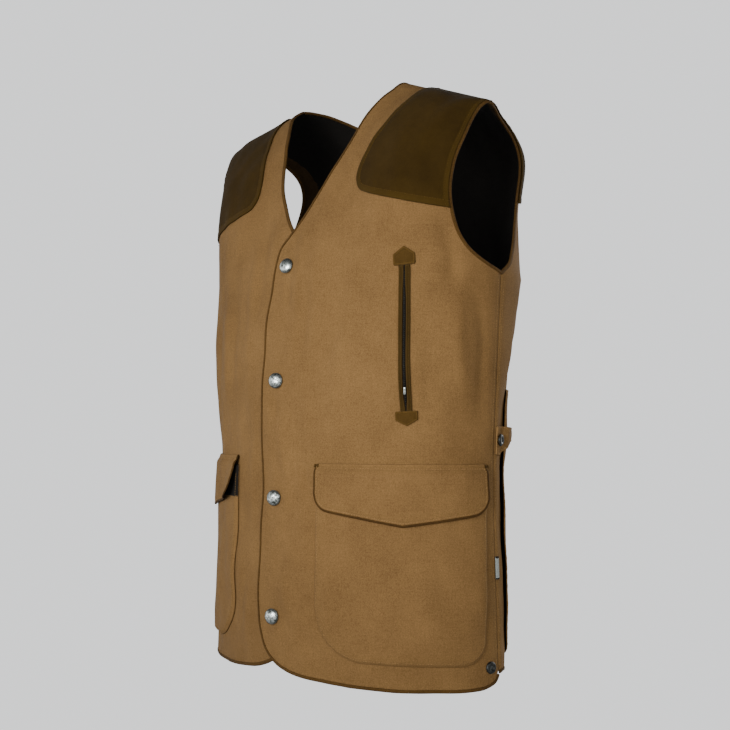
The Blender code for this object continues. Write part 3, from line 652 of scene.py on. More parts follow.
def new_group(name, inputs, outputs):
    """A shader node group with float inputs and outputs, and its two end nodes."""
    group = bpy.data.node_groups.new(name, "ShaderNodeTree")
    for label, value in inputs:
        socket = group.interface.new_socket(label, in_out="INPUT", socket_type="NodeSocketFloat")
        socket.default_value = value
    for label in outputs:
        group.interface.new_socket(label, in_out="OUTPUT", socket_type="NodeSocketFloat")
    return group, group.nodes.new("NodeGroupInput"), group.nodes.new("NodeGroupOutput")


print("node helpers ready")

# %% [markdown]
# ### Weave
# Canvas is a plain weave: each thread goes over one and under the next. Two sine waves give
# the threads their round backs, and a chequer decides which lies on top. Threads of uneven
# thickness, slubs, come from noise that is stretched along the cloth's own directions.

# %% Weave group
SLUB_ALONG, SLUB_SCALE, SLUB_TONE = 0.06, 620.0, 0.45
BACK_FULL, BACK_HOLLOW = 0.45, 0.55


def weave_group():
    group, given, result = new_group("woven_cloth", (("Threads", 900.0), ("Slub", 0.5)),
                                     ("Height", "Tone"))
    flat = add(group, "ShaderNodeUVMap", uv_map="cloth").outputs[0]
    axes = add(group, "ShaderNodeSeparateXYZ", flat).outputs
    round_backs = []
    crossings = []
    slubs = []
    for axis, stretch in ((0, (1.0, SLUB_ALONG, 1.0)), (1, (SLUB_ALONG, 1.0, 1.0))):
        turns = maths(group, "MULTIPLY", axes[axis], given.outputs["Threads"])
        crossings.append(maths(group, "FLOOR", turns))
        back = maths(group, "SINE", maths(group, "MULTIPLY", maths(group, "FRACT", turns), math.pi))
        round_backs.append(back)
        along = add(group, "ShaderNodeVectorMath", flat, stretch, operation="MULTIPLY").outputs[0]
        slubs.append(add(group, "ShaderNodeTexNoise", along, None, SLUB_SCALE, 2.0, 0.6).outputs[0])
    chequer = maths(group, "PINGPONG", maths(group, "ADD", *crossings), 1.0)
    warp, weft = (
        maths(group, "MULTIPLY", own, maths(group, "MULTIPLY_ADD", other, BACK_FULL, BACK_HOLLOW))
        for own, other in (round_backs, round_backs[::-1]))
    over = maths(group, "MULTIPLY_ADD", chequer, 0.5, 0.25)
    woven = maths(group, "ADD", maths(group, "MULTIPLY", warp, over),
                  maths(group, "MULTIPLY", weft, maths(group, "SUBTRACT", 1.0, over)))
    uneven = maths(group, "SUBTRACT", maths(group, "ADD", *slubs), 1.0)
    height = maths(group, "MULTIPLY_ADD", uneven, given.outputs["Slub"], woven)
    group.links.new(height, result.inputs["Height"])
    group.links.new(maths(group, "MULTIPLY_ADD", uneven, SLUB_TONE, woven), result.inputs["Tone"])
    return group


def mottle_group():
    """Broad, soft patches of lighter and darker tone, as on worn and handled cloth."""
    group, given, result = new_group("mottled_tone", (("Patch", 22.0), ("Speck", 260.0)),
                                     ("Broad", "Fine"))
    place = add(group, "ShaderNodeTexCoord").outputs["Object"]
    for scale, detail, rough, label in (("Patch", 4.0, 0.62, "Broad"),
                                        ("Speck", 3.0, 0.65, "Fine")):
        noise = add(group, "ShaderNodeTexNoise", place, None, given.outputs[scale], detail, rough)
        group.links.new(ranged(group, noise.outputs[0], 0.3, 0.7, 0.0, 1.0), result.inputs[label])
    return group


WEAVE = weave_group()
MOTTLE = mottle_group()
print("groups:", WEAVE.name, MOTTLE.name)


# %% Canvas, lining and tape
WOVEN_ROUGHNESS, WOVEN_SPECULAR = 0.92, 0.12
BROAD_SHARE, BROAD_START, FINE_SHARE = 0.26, -0.2, 0.55
WORN_REACH = 3.0
WEAVE_DEPTH = 0.0003


def new_material(name, roughness, metallic=0.0, sheen=0.0, specular=0.5):
    """Material with its shader's plain values set. Returns it with its tree and shader."""
    material = bpy.data.materials.new(name)
    material.use_nodes = True
    shader = material.node_tree.nodes["Principled BSDF"]
    for label, value in (("Roughness", roughness), ("Metallic", metallic), ("Sheen Weight", sheen),
                         ("Sheen Roughness", 0.5), ("Specular IOR Level", specular)):
        shader.inputs[label].default_value = value
    return material, material.node_tree, shader


def use_group(tree, group, **values):
    made = add(tree, "ShaderNodeGroup", node_tree=group)
    for name, value in values.items():
        made.inputs[name].default_value = value
    return made.outputs


def colour_by(tree, shader, share, dark, light):
    """Base colour that runs from dark at 0 to light at 1."""
    clean = maths(tree, "MINIMUM", maths(tree, "MAXIMUM", share, 0.0), 1.0)
    tree.links.new(blended(tree, clean, dark, light), shader.inputs["Base Color"])


def raise_surface(tree, shader, height, strength, distance):
    bump = add(tree, "ShaderNodeBump")
    bump.inputs["Strength"].default_value = strength
    bump.inputs["Distance"].default_value = distance
    tree.links.new(height, bump.inputs["Height"])
    tree.links.new(bump.outputs[0], shader.inputs["Normal"])


def woven_material(name, dark, light, threads, slub=0.5, contrast=0.5, worn=0.0, bump=0.45):
    """Woven cloth. worn lightens it towards its own edges, where it rubs."""
    material, tree, shader = new_material(name, WOVEN_ROUGHNESS, specular=WOVEN_SPECULAR)
    weave = use_group(tree, WEAVE, Threads=threads, Slub=slub)
    tone = use_group(tree, MOTTLE, Patch=16.0, Speck=760.0)
    share = maths(tree, "MULTIPLY_ADD", tone["Broad"], BROAD_SHARE, BROAD_START)
    share = maths(tree, "MULTIPLY_ADD", weave["Tone"], contrast, share)
    share = maths(tree, "MULTIPLY_ADD", tone["Fine"], FINE_SHARE, share)
    if worn:
        edge = add(tree, "ShaderNodeAttribute", attribute_name="edge_mm").outputs["Fac"]
        share = maths(tree, "ADD", share, ranged(tree, edge, 0.0, WORN_REACH, worn, 0.0))
    colour_by(tree, shader, share, dark, light)
    raise_surface(tree, shader, weave["Height"], bump, WEAVE_DEPTH)
    return material


CANVAS = woven_material("canvas", (0.066, 0.034, 0.0102), (0.182, 0.102, 0.036), 1700.0, worn=0.12)
# Dark brown for rims and the flaps' free edges: partly the cloth's own turned edge, partly painted
# shade in the seams and under the flaps' edges.
CANVAS_EDGE_AND_SHADE = woven_material("canvas_edge_and_painted_shade", (0.018, 0.0078, 0.0013), (0.058, 0.028, 0.0052),
                             1700.0)
# Near-black lining for the inner faces and a label's ends. It also stands as painted shade on the
# pockets' outer faces just under their flaps.
LINING_AND_PAINTED_SHADE = woven_material("lining_and_painted_shade", (0.003, 0.0025, 0.002), (0.012, 0.010, 0.008), 1500.0)
FACING = woven_material("armhole_facing", (0.018, 0.010, 0.004), (0.05, 0.029, 0.011), 1200.0)
TAPE = woven_material("binding_tape", (0.024, 0.011, 0.002), (0.085, 0.043, 0.009), 1400.0,
                      slub=0.2)
ZIP_TAPE = woven_material("zip_tape", (0.002, 0.002, 0.002), (0.008, 0.007, 0.006), 1600.0,
                          slub=0.1)
print("woven finishes made")

# %% [markdown]
# ### Suede
# The shoulder patches and the zip's lips are brushed leather. Its nap takes light unevenly, in
# strokes and thumb marks, and it shines a little at grazing angles, which sheen gives. Where an
# edge is turned under and sewn, the double layer is rubbed lighter.

# %% Suede and metal
SUEDE_ROUGHNESS, SUEDE_SHEEN, SUEDE_SPECULAR = 0.95, 0.02, 0.05
STROKE_SCALE, STROKE_RANGE = 26.0, (-0.12, 0.16)
NAP_SCALE, NAP_SHARE = 900.0, 0.55
BAND_FADE, BAND_LIGHTER = 0.8, 0.26
STAIN_SCALE, STAIN_ROUGHER = 330.0, 0.2


def suede_material(name, dark, light, band):
    """Napped leather. Its turned edge, band mm wide, is lighter."""
    material, tree, shader = new_material(name, SUEDE_ROUGHNESS, sheen=SUEDE_SHEEN,
                                          specular=SUEDE_SPECULAR)
    place = add(tree, "ShaderNodeTexCoord").outputs["Object"]
    strokes = add(tree, "ShaderNodeTexNoise", place, None, STROKE_SCALE, 6.0, 0.7).outputs[0]
    nap = add(tree, "ShaderNodeTexNoise", place, None, NAP_SCALE, 3.0, 0.7).outputs[0]
    share = maths(tree, "MULTIPLY_ADD", nap, NAP_SHARE,
                  ranged(tree, strokes, 0.3, 0.7, *STROKE_RANGE))
    edge = add(tree, "ShaderNodeAttribute", attribute_name="edge_mm").outputs["Fac"]
    share = maths(tree, "ADD", share, ranged(tree, edge, band, band + BAND_FADE, BAND_LIGHTER, 0.0))
    colour_by(tree, shader, share, dark, light)
    raise_surface(tree, shader, maths(tree, "MULTIPLY_ADD", strokes, 0.6, nap), 0.5, 0.0006)
    return material


def metal_material(name, bright, tarnished, roughness, share_low, share_high):
    """Plated metal, darkened and roughened in random patches of tarnish."""
    material, tree, shader = new_material(name, roughness, metallic=1.0)
    place = add(tree, "ShaderNodeTexCoord").outputs["Object"]
    stain = add(tree, "ShaderNodeTexNoise", place, None, STAIN_SCALE, 4.0, 0.7).outputs[0]
    share = ranged(tree, stain, share_low, share_high, 0.0, 1.0)
    tree.links.new(blended(tree, share, tarnished, bright), shader.inputs["Base Color"])
    rough = ranged(tree, share, 0.0, 1.0, roughness + STAIN_ROUGHER, roughness)
    tree.links.new(rough, shader.inputs["Roughness"])
    raise_surface(tree, shader, stain, 0.35, 0.0004)
    return material


def plain_thread(name, dark, light):
    """Twisted thread, seen as lighter and darker stitches."""
    material, tree, shader = new_material(name, 0.9, specular=0.04)
    tone = use_group(tree, MOTTLE, Patch=60.0, Speck=500.0)
    tree.links.new(blended(tree, tone["Fine"], dark, light), shader.inputs["Base Color"])
    return material


SUEDE = suede_material("suede", (0.013, 0.0068, 0.0010), (0.046, 0.026, 0.0044), 6.2)
SUEDE_LIP = suede_material("suede_lip", (0.014, 0.0075, 0.0015), (0.056, 0.032, 0.0075), 1.0)
SUEDE_TAB = suede_material("suede_tab", (0.026, 0.0135, 0.0028), (0.080, 0.044, 0.0105), 1.4)
SILVER = metal_material("antique_silver", (0.52, 0.56, 0.54), (0.045, 0.05, 0.042), 0.27, 0.40,
                        0.60)
# Darker metal on the caps' outer flange, painted shade round their edge.
SHADED_SILVER_RIM = metal_material("snap_rim_painted_shade", (0.16, 0.165, 0.15), (0.02, 0.021, 0.018), 0.42, 0.34,
                             0.66)
# Brighter metal in the ring snaps' middle, a painted highlight.
GUNMETAL_HIGHLIGHT = metal_material("snap_middle_painted_highlight", (0.17, 0.175, 0.165), (0.02, 0.021, 0.02), 0.32,
                                 0.34, 0.6)
GUNMETAL = metal_material("gunmetal", (0.055, 0.057, 0.053), (0.010, 0.011, 0.010), 0.38, 0.3, 0.7)
BLACK_METAL = metal_material("zip_metal", (0.022, 0.020, 0.016), (0.006, 0.005, 0.004), 0.5, 0.3,
                             0.7)
THREAD = plain_thread("tan_thread", (0.10, 0.057, 0.019), (0.26, 0.155, 0.060))
DARK_THREAD = plain_thread("brown_thread", (0.026, 0.014, 0.003), (0.075, 0.042, 0.010))
LABEL_CLOTH = woven_material("label_cloth", (0.10, 0.11, 0.10), (0.34, 0.36, 0.34), 1500.0,
                             slub=0.2)
print("materials:", len(bpy.data.materials))

# %% [markdown]
# ## Sewing a sheet
# One function makes every cloth piece. It fills the flat outline with points, joins them to
# triangles, sets both faces on the form and closes the rim between them, rolled over as a
# turned edge is. Where a row of stitches will run, the cloth is drawn down and puckers beside
# it. Solidify would give the wall too, but not a rolled rim or three finishes.

# %% Cloth sheet
RIM_RINGS = (0.35, 1.0, 2.0)
RIM_ROLL = 1.1
STITCH_SINK = 0.42
STITCH_HALF = 1.2
PUCKER_HEIGHT = 0.22
PUCKER_PITCH = 9.5
PUCKER_AWAY, PUCKER_SPREAD = 3.2, 2.6
PUCKER_DRIFT, PUCKER_DRIFT_RUN = 2.4, 31.0
SEAM_SIDE_ROW = STITCH_HALF * 1.3
ROW_GAP = 0.4
RIM_THIN = 0.4
Seam = namedtuple("Seam", "path closed thread")
STITCH_ROWS = {}


def seam_relief(points, seams):
    """Cloth is drawn down along its stitches and puckers a little beside them."""
    total = np.zeros(len(points))
    for seam in seams:
        away, along = path_distance(points, seam.path, seam.closed)
        total -= STITCH_SINK * np.exp(-(away / STITCH_HALF) ** 2)
        drift = PUCKER_DRIFT * np.sin(along / PUCKER_DRIFT_RUN)
        ripple = np.sin(along * 2 * math.pi / PUCKER_PITCH + drift)
        total += PUCKER_HEIGHT * ripple * np.exp(-((away - PUCKER_AWAY) / PUCKER_SPREAD) ** 2)
    return total


def flat_mesh(outline, step, seams):
    """Points and triangles that fill the outline, with closer rows at rim and seams."""
    low, high = outline.min(axis=0), outline.max(axis=0)
    grid = np.stack([a.ravel() for a in np.meshgrid(
        np.arange(low[0] + step / 2, high[0], step), np.arange(low[1] + step / 2, high[1], step))],
                    -1)
    rows = [inset(outline, ring) for ring in RIM_RINGS]
    for seam in seams:
        sides = [inset(seam.path, sign * SEAM_SIDE_ROW, seam.closed) for sign in (1, -1)]
        rows.extend([seam.path, *sides])
    grid = grid[inside(grid, outline)]
    grid = grid[path_distance(grid, outline)[0] > RIM_RINGS[-1] + ROW_GAP * step]
    for seam in seams:
        grid = grid[path_distance(grid, seam.path, seam.closed)[0] > SEAM_SIDE_ROW + ROW_GAP * step]
    loose = np.concatenate([*rows, grid])
    loose = loose[inside(loose, outline)]
    flat = np.concatenate([outline, loose])
    edges = [(i, (i + 1) % len(outline)) for i in range(len(outline))]
    points, _, faces, *_ = delaunay_2d_cdt([Vector(p) for p in flat], edges, [], 1, 1e-4)
    return np.array([tuple(p) for p in points]), np.array([tuple(f) for f in faces])


def rim_order(faces):
    """The border edges of a triangle mesh, each in its face's own direction."""
    edges = np.concatenate([faces[:, [0, 1]], faces[:, [1, 2]], faces[:, [2, 0]]])
    known = {(a, b) for a, b in edges.tolist()}
    return [(a, b) for a, b in edges.tolist() if (b, a) not in known]


def new_mesh(name, points, faces, finishes):
    mesh = bpy.data.meshes.new(name)
    mesh.from_pydata(points, [], faces)
    for finish in finishes:
        mesh.materials.append(finish)
    return mesh


def give_uv(mesh, flat):
    """Each vertex's place on the flat cloth, in metres, as the mesh's UV map."""
    corner = np.empty(len(mesh.loops), np.int32)
    mesh.loops.foreach_get("vertex_index", corner)
    mesh.uv_layers.new(name="cloth").data.foreach_set("uv", (flat[corner] * MM).ravel())


def cloth_sheet(name, place, outline, lift, wall, finishes, step=CLOTH_STEP, seams=(), extra=None,
                facing=None, edging_and_shade=None):
    """A closed sheet on the form, and its outer face as a function of (s, t).

    finishes are the outer, inner and rim materials, and a fourth one. extra(points) raises the
    outer face. The fourth finish covers the inner face where facing(points) is True, and the
    outer face where edging_and_shade(points) is: a label's real dark ends, and painted shade
    along a flap's edge and at a pocket's mouth.
    """
    def outer_lift(points):
        raised = lift(points[:, 0], points[:, 1]) + wall + seam_relief(points, seams)
        return raised if extra is None else raised + extra(points)

    flat, faces = flat_mesh(outline, step, seams)
    edge = path_distance(flat, outline)[0]
    roll = np.sqrt(1 - (1 - np.clip(edge / RIM_ROLL, 0.0, 1.0)) ** 2)
    base = lift(flat[:, 0], flat[:, 1])
    top = base + (outer_lift(flat) - base) * (RIM_THIN + (1 - RIM_THIN) * roll)
    outer = place(flat[:, 0], flat[:, 1], top)
    inner = place(flat[:, 0], flat[:, 1], base)
    centre = outer[faces].mean(axis=1) - (0.0, SEAM_Y, 0.0)
    normal = np.cross(outer[faces[:, 1]] - outer[faces[:, 0]],
                      outer[faces[:, 2]] - outer[faces[:, 0]])
    if (centre[:, :2] * normal[:, :2]).sum() < 0:
        faces = faces[:, ::-1]
    count = len(flat)
    rim = [(b, a, a + count, b + count) for a, b in rim_order(faces)]
    everything = faces.tolist() + (faces[:, ::-1] + count).tolist() + rim
    mesh = new_mesh(name, (np.concatenate([outer, inner]) * MM).tolist(), everything, finishes)
    index = np.repeat((0, 1, 2), (len(faces), len(faces), len(rim)))
    middles = flat[faces].mean(axis=1)
    if facing is not None:
        index[len(faces):2 * len(faces)][facing(middles)] = 3
    if edging_and_shade is not None:
        # The outer faces picked here take the fourth finish, for trim and for painted shade.
        index[:len(faces)][edging_and_shade(middles)] = 3
    mesh.polygons.foreach_set("material_index", index.astype(np.int32))
    give_uv(mesh, np.tile(flat, (2, 1)))
    mesh.attributes.new("edge_mm", "FLOAT", "POINT").data.foreach_set("value", np.tile(edge, 2))
    mesh.shade_smooth()
    mesh.validate()
    piece = linked(name, mesh)

    def on_top(points):
        return place(points[:, 0], points[:, 1], outer_lift(points))
    if seams:
        STITCH_ROWS[name] = [(seam.thread, on_top(seam.path), seam.closed) for seam in seams]
    return piece, on_top


def cut_size(place, outline, lift, count=120):
    """Width, length and area of the flat cut, measured along the form."""
    low, high = outline.min(axis=0), outline.max(axis=0)
    s = np.linspace(low[0], high[0], count)
    t = np.linspace(low[1], high[1], count)
    grid = np.stack(np.meshgrid(s, t), -1)
    within = inside(grid.reshape(-1, 2), outline).reshape(grid.shape[:2])
    points = place(grid[..., 0], grid[..., 1], lift(grid[..., 0], grid[..., 1]))
    across = np.linalg.norm(np.diff(points, axis=1), axis=-1) * (within[:, 1:] & within[:, :-1])
    along = np.linalg.norm(np.diff(points, axis=0), axis=-1) * (within[1:] & within[:-1])
    du = points[1:, :-1] - points[:-1, :-1]
    dv = points[:-1, 1:] - points[:-1, :-1]
    cells = np.linalg.norm(np.cross(du, dv), axis=-1) * within[:-1, :-1]
    return across.sum(axis=1).max() * MM, along.sum(axis=0).max() * MM, cells.sum() * MM * MM


Sheet = namedtuple("Sheet", "piece place outline lift hangs_from")
SHEETS = []
GOES_WITH = {}


def declare(piece, nodes, sheet=None):
    """Rides on the body, stands for its CAD nodes and, for a trim, goes with a sheet."""
    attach(piece, BODY)
    if nodes:
        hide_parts(*nodes)
    if sheet:
        GOES_WITH.setdefault(sheet, []).append(piece)


def declare_cloth(piece, node, slot, place, outline, lift, *hangs_from):
    """As declare, for a sheet. Its cut is stated once all its trims are made."""
    declare(piece, [node])
    SHEETS.append(Sheet(piece, place, outline, lift, hangs_from))


print("sheet maker ready")

# %% [markdown]
# ## Panels
# Two fronts and a back make the shell. The left front laps over the right one, so near the
# closing it stands off by a binding's thickness. The inner faces are lined in black, with a
# brown facing along the armholes.

# %% Outlines of the panels
WALL = 1.8
PATCH_WALL = 1.4
SEAM = 0.3
LAID = 0.7
BINDING_R = 1.5
OVERLAP = 26.0
UNDERLAP_LIFT = WALL / 2 + BINDING_R + 1.0
UNDERLAP_SLOPE = (-84.0, -36.0)
SIDE_EDGE = SIDE_S - 0.2
SHOULDER_T = RIB_RUN - 0.2
UNDERARM_T = -1.0
FRONT_SIDE_FOOT = -453.0
BACK_SIDE_FOOT = -452.5
NECK_S = 94.0
TIP_S = 252.0
FRONT_EDGE = (
    (NECK_S, RIB_RUN), (91, 243), (84.5, 216), (75, 189), (66.5, 162), (58, 135), (47.5, 108),
    (33, 81), (13.5, 54), (-2, 38), (-16, 27), (-21, 12), (-24, -20), (-27, -75), (-25, -141),
    (-24, -265), (-OVERLAP, -338), (-OVERLAP, -392), (-21, -420), (-12, -438), (2, -450),
    (26, -459.5), (58, -464.5), (110, -469),
)
FRONT_HEM = (
    (110, -469), (200, -470), (248, -469), (269, -466.5), (281, -461.5),
    (SIDE_EDGE, FRONT_SIDE_FOOT),
)
ARMHOLE_FRONT = (
    (SIDE_EDGE, UNDERARM_T), (264, 8), (246, 19), (232, 35), (224, 54), (220.5, 72), (223, 99),
    (235, 135), (248, 200), (TIP_S, SHOULDER_T),
)
ARMHOLE_BACK = (
    (SIDE_EDGE, UNDERARM_T), (268, 12), (252, 30), (241, 49), (233, 73), (230, 95), (229, 120),
    (230, 145), (238, 178), (249, 220), (TIP_S, SHOULDER_T),
)
NECK_BACK = (
    (NECK_S, SHOULDER_T), (84, 236), (66, 206), (38, 182), (0, 172), (-38, 182), (-66, 206),
    (-84, 236), (-NECK_S, SHOULDER_T),
)
BACK_HEM = (
    (-SIDE_EDGE, BACK_SIDE_FOOT), (-270, -451), (-245, -453), (-200, -457), (0, -466), (200, -457),
    (245, -453), (270, -451), (SIDE_EDGE, BACK_SIDE_FOOT),
)
FACING_WIDTH = 26.0


def flat_lift(height):
    return lambda s, t: np.full(np.broadcast(s, t).shape, float(height))


def left_lift(s, t):
    """The left front's inner face rises over the right one near the centre."""
    return UNDERLAP_LIFT * ease(-np.asarray(s, float), *UNDERLAP_SLOPE) + 0.0 * t


def front_outline():
    return joined(
        smooth_path(FRONT_EDGE), smooth_path(FRONT_HEM),
        straight((SIDE_EDGE, FRONT_SIDE_FOOT), (SIDE_EDGE, UNDERARM_T)),
        smooth_path(ARMHOLE_FRONT),
        straight((TIP_S, SHOULDER_T), (NECK_S, SHOULDER_T)),
    )


def back_outline():
    return joined(
        smooth_path(BACK_HEM),
        straight((SIDE_EDGE, BACK_SIDE_FOOT), (SIDE_EDGE, UNDERARM_T)),
        smooth_path(ARMHOLE_BACK),
        straight((TIP_S, SHOULDER_T), (NECK_S, SHOULDER_T)),
        smooth_path(NECK_BACK),
        straight((-NECK_S, SHOULDER_T), (-TIP_S, SHOULDER_T)),
        smooth_path(mirrored(ARMHOLE_BACK))[::-1],
        straight((-SIDE_EDGE, UNDERARM_T), (-SIDE_EDGE, BACK_SIDE_FOOT)),
    )


print("front outline points:", len(front_outline()))

# %% Panels
SIDE_STITCH = 4.2
GROOVE_DEPTH = 1.1
GROOVE_HALF = 1.9
SIDE_STITCH_FOOT, SIDE_STITCH_TOP = 4.0, 8.0
# The rims take the dark edge finish, partly the cloth's own edge and partly painted shade in the
# seams.
PANEL_FINISH = (CANVAS, LINING_AND_PAINTED_SHADE, CANVAS_EDGE_AND_SHADE, FACING)


def near_armhole(*paths):
    def near(points):
        away = [path_distance(points, path, False)[0] for path in paths]
        return np.min(away, axis=0) < FACING_WIDTH
    return near


def side_seam(sign, foot):
    """Stitch row beside the side seam, on a panel's own edge."""
    s = sign * (SIDE_EDGE - SIDE_STITCH)
    ends = ((s, foot + SIDE_STITCH_FOOT), (s, UNDERARM_T - SIDE_STITCH_TOP))
    return Seam(straight(*ends), False, THREAD)


def side_groove(points):
    """The cloth sinks into the side seam."""
    sunk = np.exp(-((SIDE_EDGE - np.abs(points[:, 0])) / GROOVE_HALF) ** 2)
    return -GROOVE_DEPTH * sunk * (points[:, 1] < 0)


def make_panels():
    front = front_outline()
    armhole = smooth_path(ARMHOLE_FRONT)
    for name, flip, lift in (("left", 1, left_lift), ("right", -1, flat_lift(0.0))):
        outline = front * (flip, 1)
        piece, _ = cloth_sheet(
            f"canvas_front_{name}", front_place, outline, lift, WALL, PANEL_FINISH,
            seams=(side_seam(flip, FRONT_SIDE_FOOT),), extra=side_groove,
            facing=near_armhole(armhole * (flip, 1)))
        declare_cloth(piece, f"front_{name}", "canvas", front_place, outline, lift)
        print(piece.name, len(piece.data.polygons))
    outline = back_outline()
    hole = smooth_path(ARMHOLE_BACK)
    piece, _ = cloth_sheet(
        "canvas_back", back_place, outline, flat_lift(0.0), WALL, PANEL_FINISH,
        seams=(side_seam(1, BACK_SIDE_FOOT), side_seam(-1, BACK_SIDE_FOOT)), extra=side_groove,
        facing=near_armhole(hole, hole * (-1, 1)))
    declare_cloth(piece, "back", "canvas", back_place, outline, flat_lift(0.0))
    print(piece.name, len(piece.data.polygons))


make_panels()

# %% [markdown]
# ## Shoulder patches
# Where a gun's butt rests, the shoulder has a suede patch that runs over the seam on to the
# back. Its free edge is turned under by about 6 mm and stitched along the turning, so it
# shows as a slightly raised, lighter band.

# %% Shoulder patches
PATCH_FRONT = (
    (118, SHOULDER_T), (116, 235), (113, 200), (105, 165), (96, 135), (90, 111), (89.5, 94),
    (97, 81), (112, 74.5), (135, 69), (165, 64), (195, 60),
)
PATCH_BACK = (
    (118, SHOULDER_T), (119, 215), (121, 160), (124, 120), (130, 100), (145, 90), (175, 82),
    (205, 78),
)
PATCH_SHIFT = 23.5
PATCH_SHIFT_T = (115.0, 215.0)
PATCH_FRONT_END_T = 58.0
PATCH_BACK_END_T = 76.0
BAND_WIDTH = 6.2
BAND_RISE = 0.45
BAND_FALL = (BAND_WIDTH - 0.6, BAND_WIDTH + 0.8)
ARMHOLE_STITCH = 5.0
SUEDE_FINISH = (SUEDE, LINING_AND_PAINTED_SHADE, SUEDE)


def patch_outline(inner, armhole, end_t):
    """The patch's outline, its own free edge and its edge along the armhole."""
    rim = smooth_path(armhole)
    rim = rim[rim[:, 1] > end_t + 1.0]
    edge_s = float(np.interp(end_t, [t for _, t in armhole], [s for s, _ in armhole]))
    rim = np.concatenate((((edge_s, end_t),), rim))
    lower = smooth_path((*inner, (edge_s, end_t)))
    return joined(lower, rim, straight(rim[-1], inner[0])), lower, rim


def make_patches():
    for where, inner, armhole, end_t, place, clear in (
            ("front", PATCH_FRONT, ARMHOLE_FRONT, PATCH_FRONT_END_T, front_place, LAID),
            ("back", PATCH_BACK, ARMHOLE_BACK, PATCH_BACK_END_T, back_place, 2 * LAID)):
        lift = flat_lift(WALL + clear)
        for name, flip, shift in (("left", 1, PATCH_SHIFT), ("right", -1, 0.0)):
            rows = [(s + shift * float(ease(t, *PATCH_SHIFT_T)), t) for s, t in inner]
            own, free, hole = (path * (flip, 1) for path in patch_outline(rows, armhole, end_t))
            seams = (Seam(inset(free, flip * BAND_WIDTH, False), False, DARK_THREAD),
                     Seam(inset(hole, flip * ARMHOLE_STITCH, False), False, DARK_THREAD))

            def band(points, free=free):
                away = path_distance(points, free, False)[0]
                return BAND_RISE * (1 - ease(away, *BAND_FALL))
            piece, _ = cloth_sheet(f"suede_patch_{where}_{name}", place, own, lift, PATCH_WALL,
                                   SUEDE_FINISH, step=FINE_STEP, seams=seams, extra=band)
            panel = "canvas_back" if where == "back" else f"canvas_front_{name}"
            declare_cloth(piece, f"shoulder_patch_{where}_{name}", "suede", place, own, lift, panel)
    print("patches:", 4)


make_patches()

# %% [markdown]
# ## Bindings
# Every raw edge is closed by a narrow folded tape. A bevelled curve would be a round cord, so
# the tape is swept here with a flattened section that follows the cloth's own normal.

# %% Bindings
TAPE_STEP = 2.5
# Section of the folded tape as (off the edge, up), round the outside and back through the slot
TAPE_SECTION = (
    (-2.8, 1.46), (-1.7, 1.5), (-0.5, 1.45), (0.5, 1.2), (1.2, 0.7), (1.5, 0.0), (1.2, -0.7),
    (0.5, -1.2), (-0.5, -1.45), (-1.7, -1.5), (-2.8, -1.46), (-2.75, -1.12), (-1.5, -1.1),
    (-1.3, 0.0), (-1.5, 1.1), (-2.75, 1.12),
)


def beside(side, path, lift, sideways):
    """Line beside a panel's edge, with the normal there and the way off the edge."""
    s, t = path[:, 0], path[:, 1]
    line = cloth_point(side, s, t, lift(s, t))
    normal = form_normal(side, s, t)
    away = unit(np.cross(np.gradient(line, axis=0), normal))
    return line + away * sideways, normal, away * np.sign(sideways)


def swept_tape(name, line, normal, outward, finish, closed=False):
    """Folded tape along a line of points. outward is the way off the cloth's edge there."""
    loop = np.roll(line, -1, axis=0) - np.roll(line, 1, axis=0)
    run = unit(loop if closed else np.gradient(line, axis=0))
    off = unit(outward - run * (outward * run).sum(axis=1, keepdims=True))
    up = np.cross(run, off)
    up = up * np.sign((up * normal).sum(axis=1, keepdims=True))
    section = np.array(TAPE_SECTION)
    rings = line[:, None] + off[:, None] * section[:, 0:1] + up[:, None] * section[:, 1:2]
    count, size = len(line), len(section)
    faces = []
    for i in range(count if closed else count - 1):
        a, b = i * size, (i + 1) % count * size
        for k in range(size):
            m = (k + 1) % size
            faces.append((a + k, a + m, b + m, b + k))
    if not closed:
        last = (count - 1) * size
        faces.append(tuple(range(size))[::-1])
        faces.append(tuple(last + k for k in range(size)))
    if (np.cross(off[0], up[0]) * run[0]).sum() > 0:
        faces = [face[::-1] for face in faces]
    mesh = new_mesh(name, (rings.reshape(-1, 3) * MM).tolist(), faces, [finish])
    along = np.concatenate(([0.0], np.cumsum(np.linalg.norm(np.diff(line, axis=0), axis=1))))
    around = np.cumsum(np.hypot(*np.gradient(section, axis=0).T))
    give_uv(mesh, np.stack((np.repeat(along, size), np.tile(around, count)), -1))
    mesh.shade_smooth()
    return linked(name, mesh)


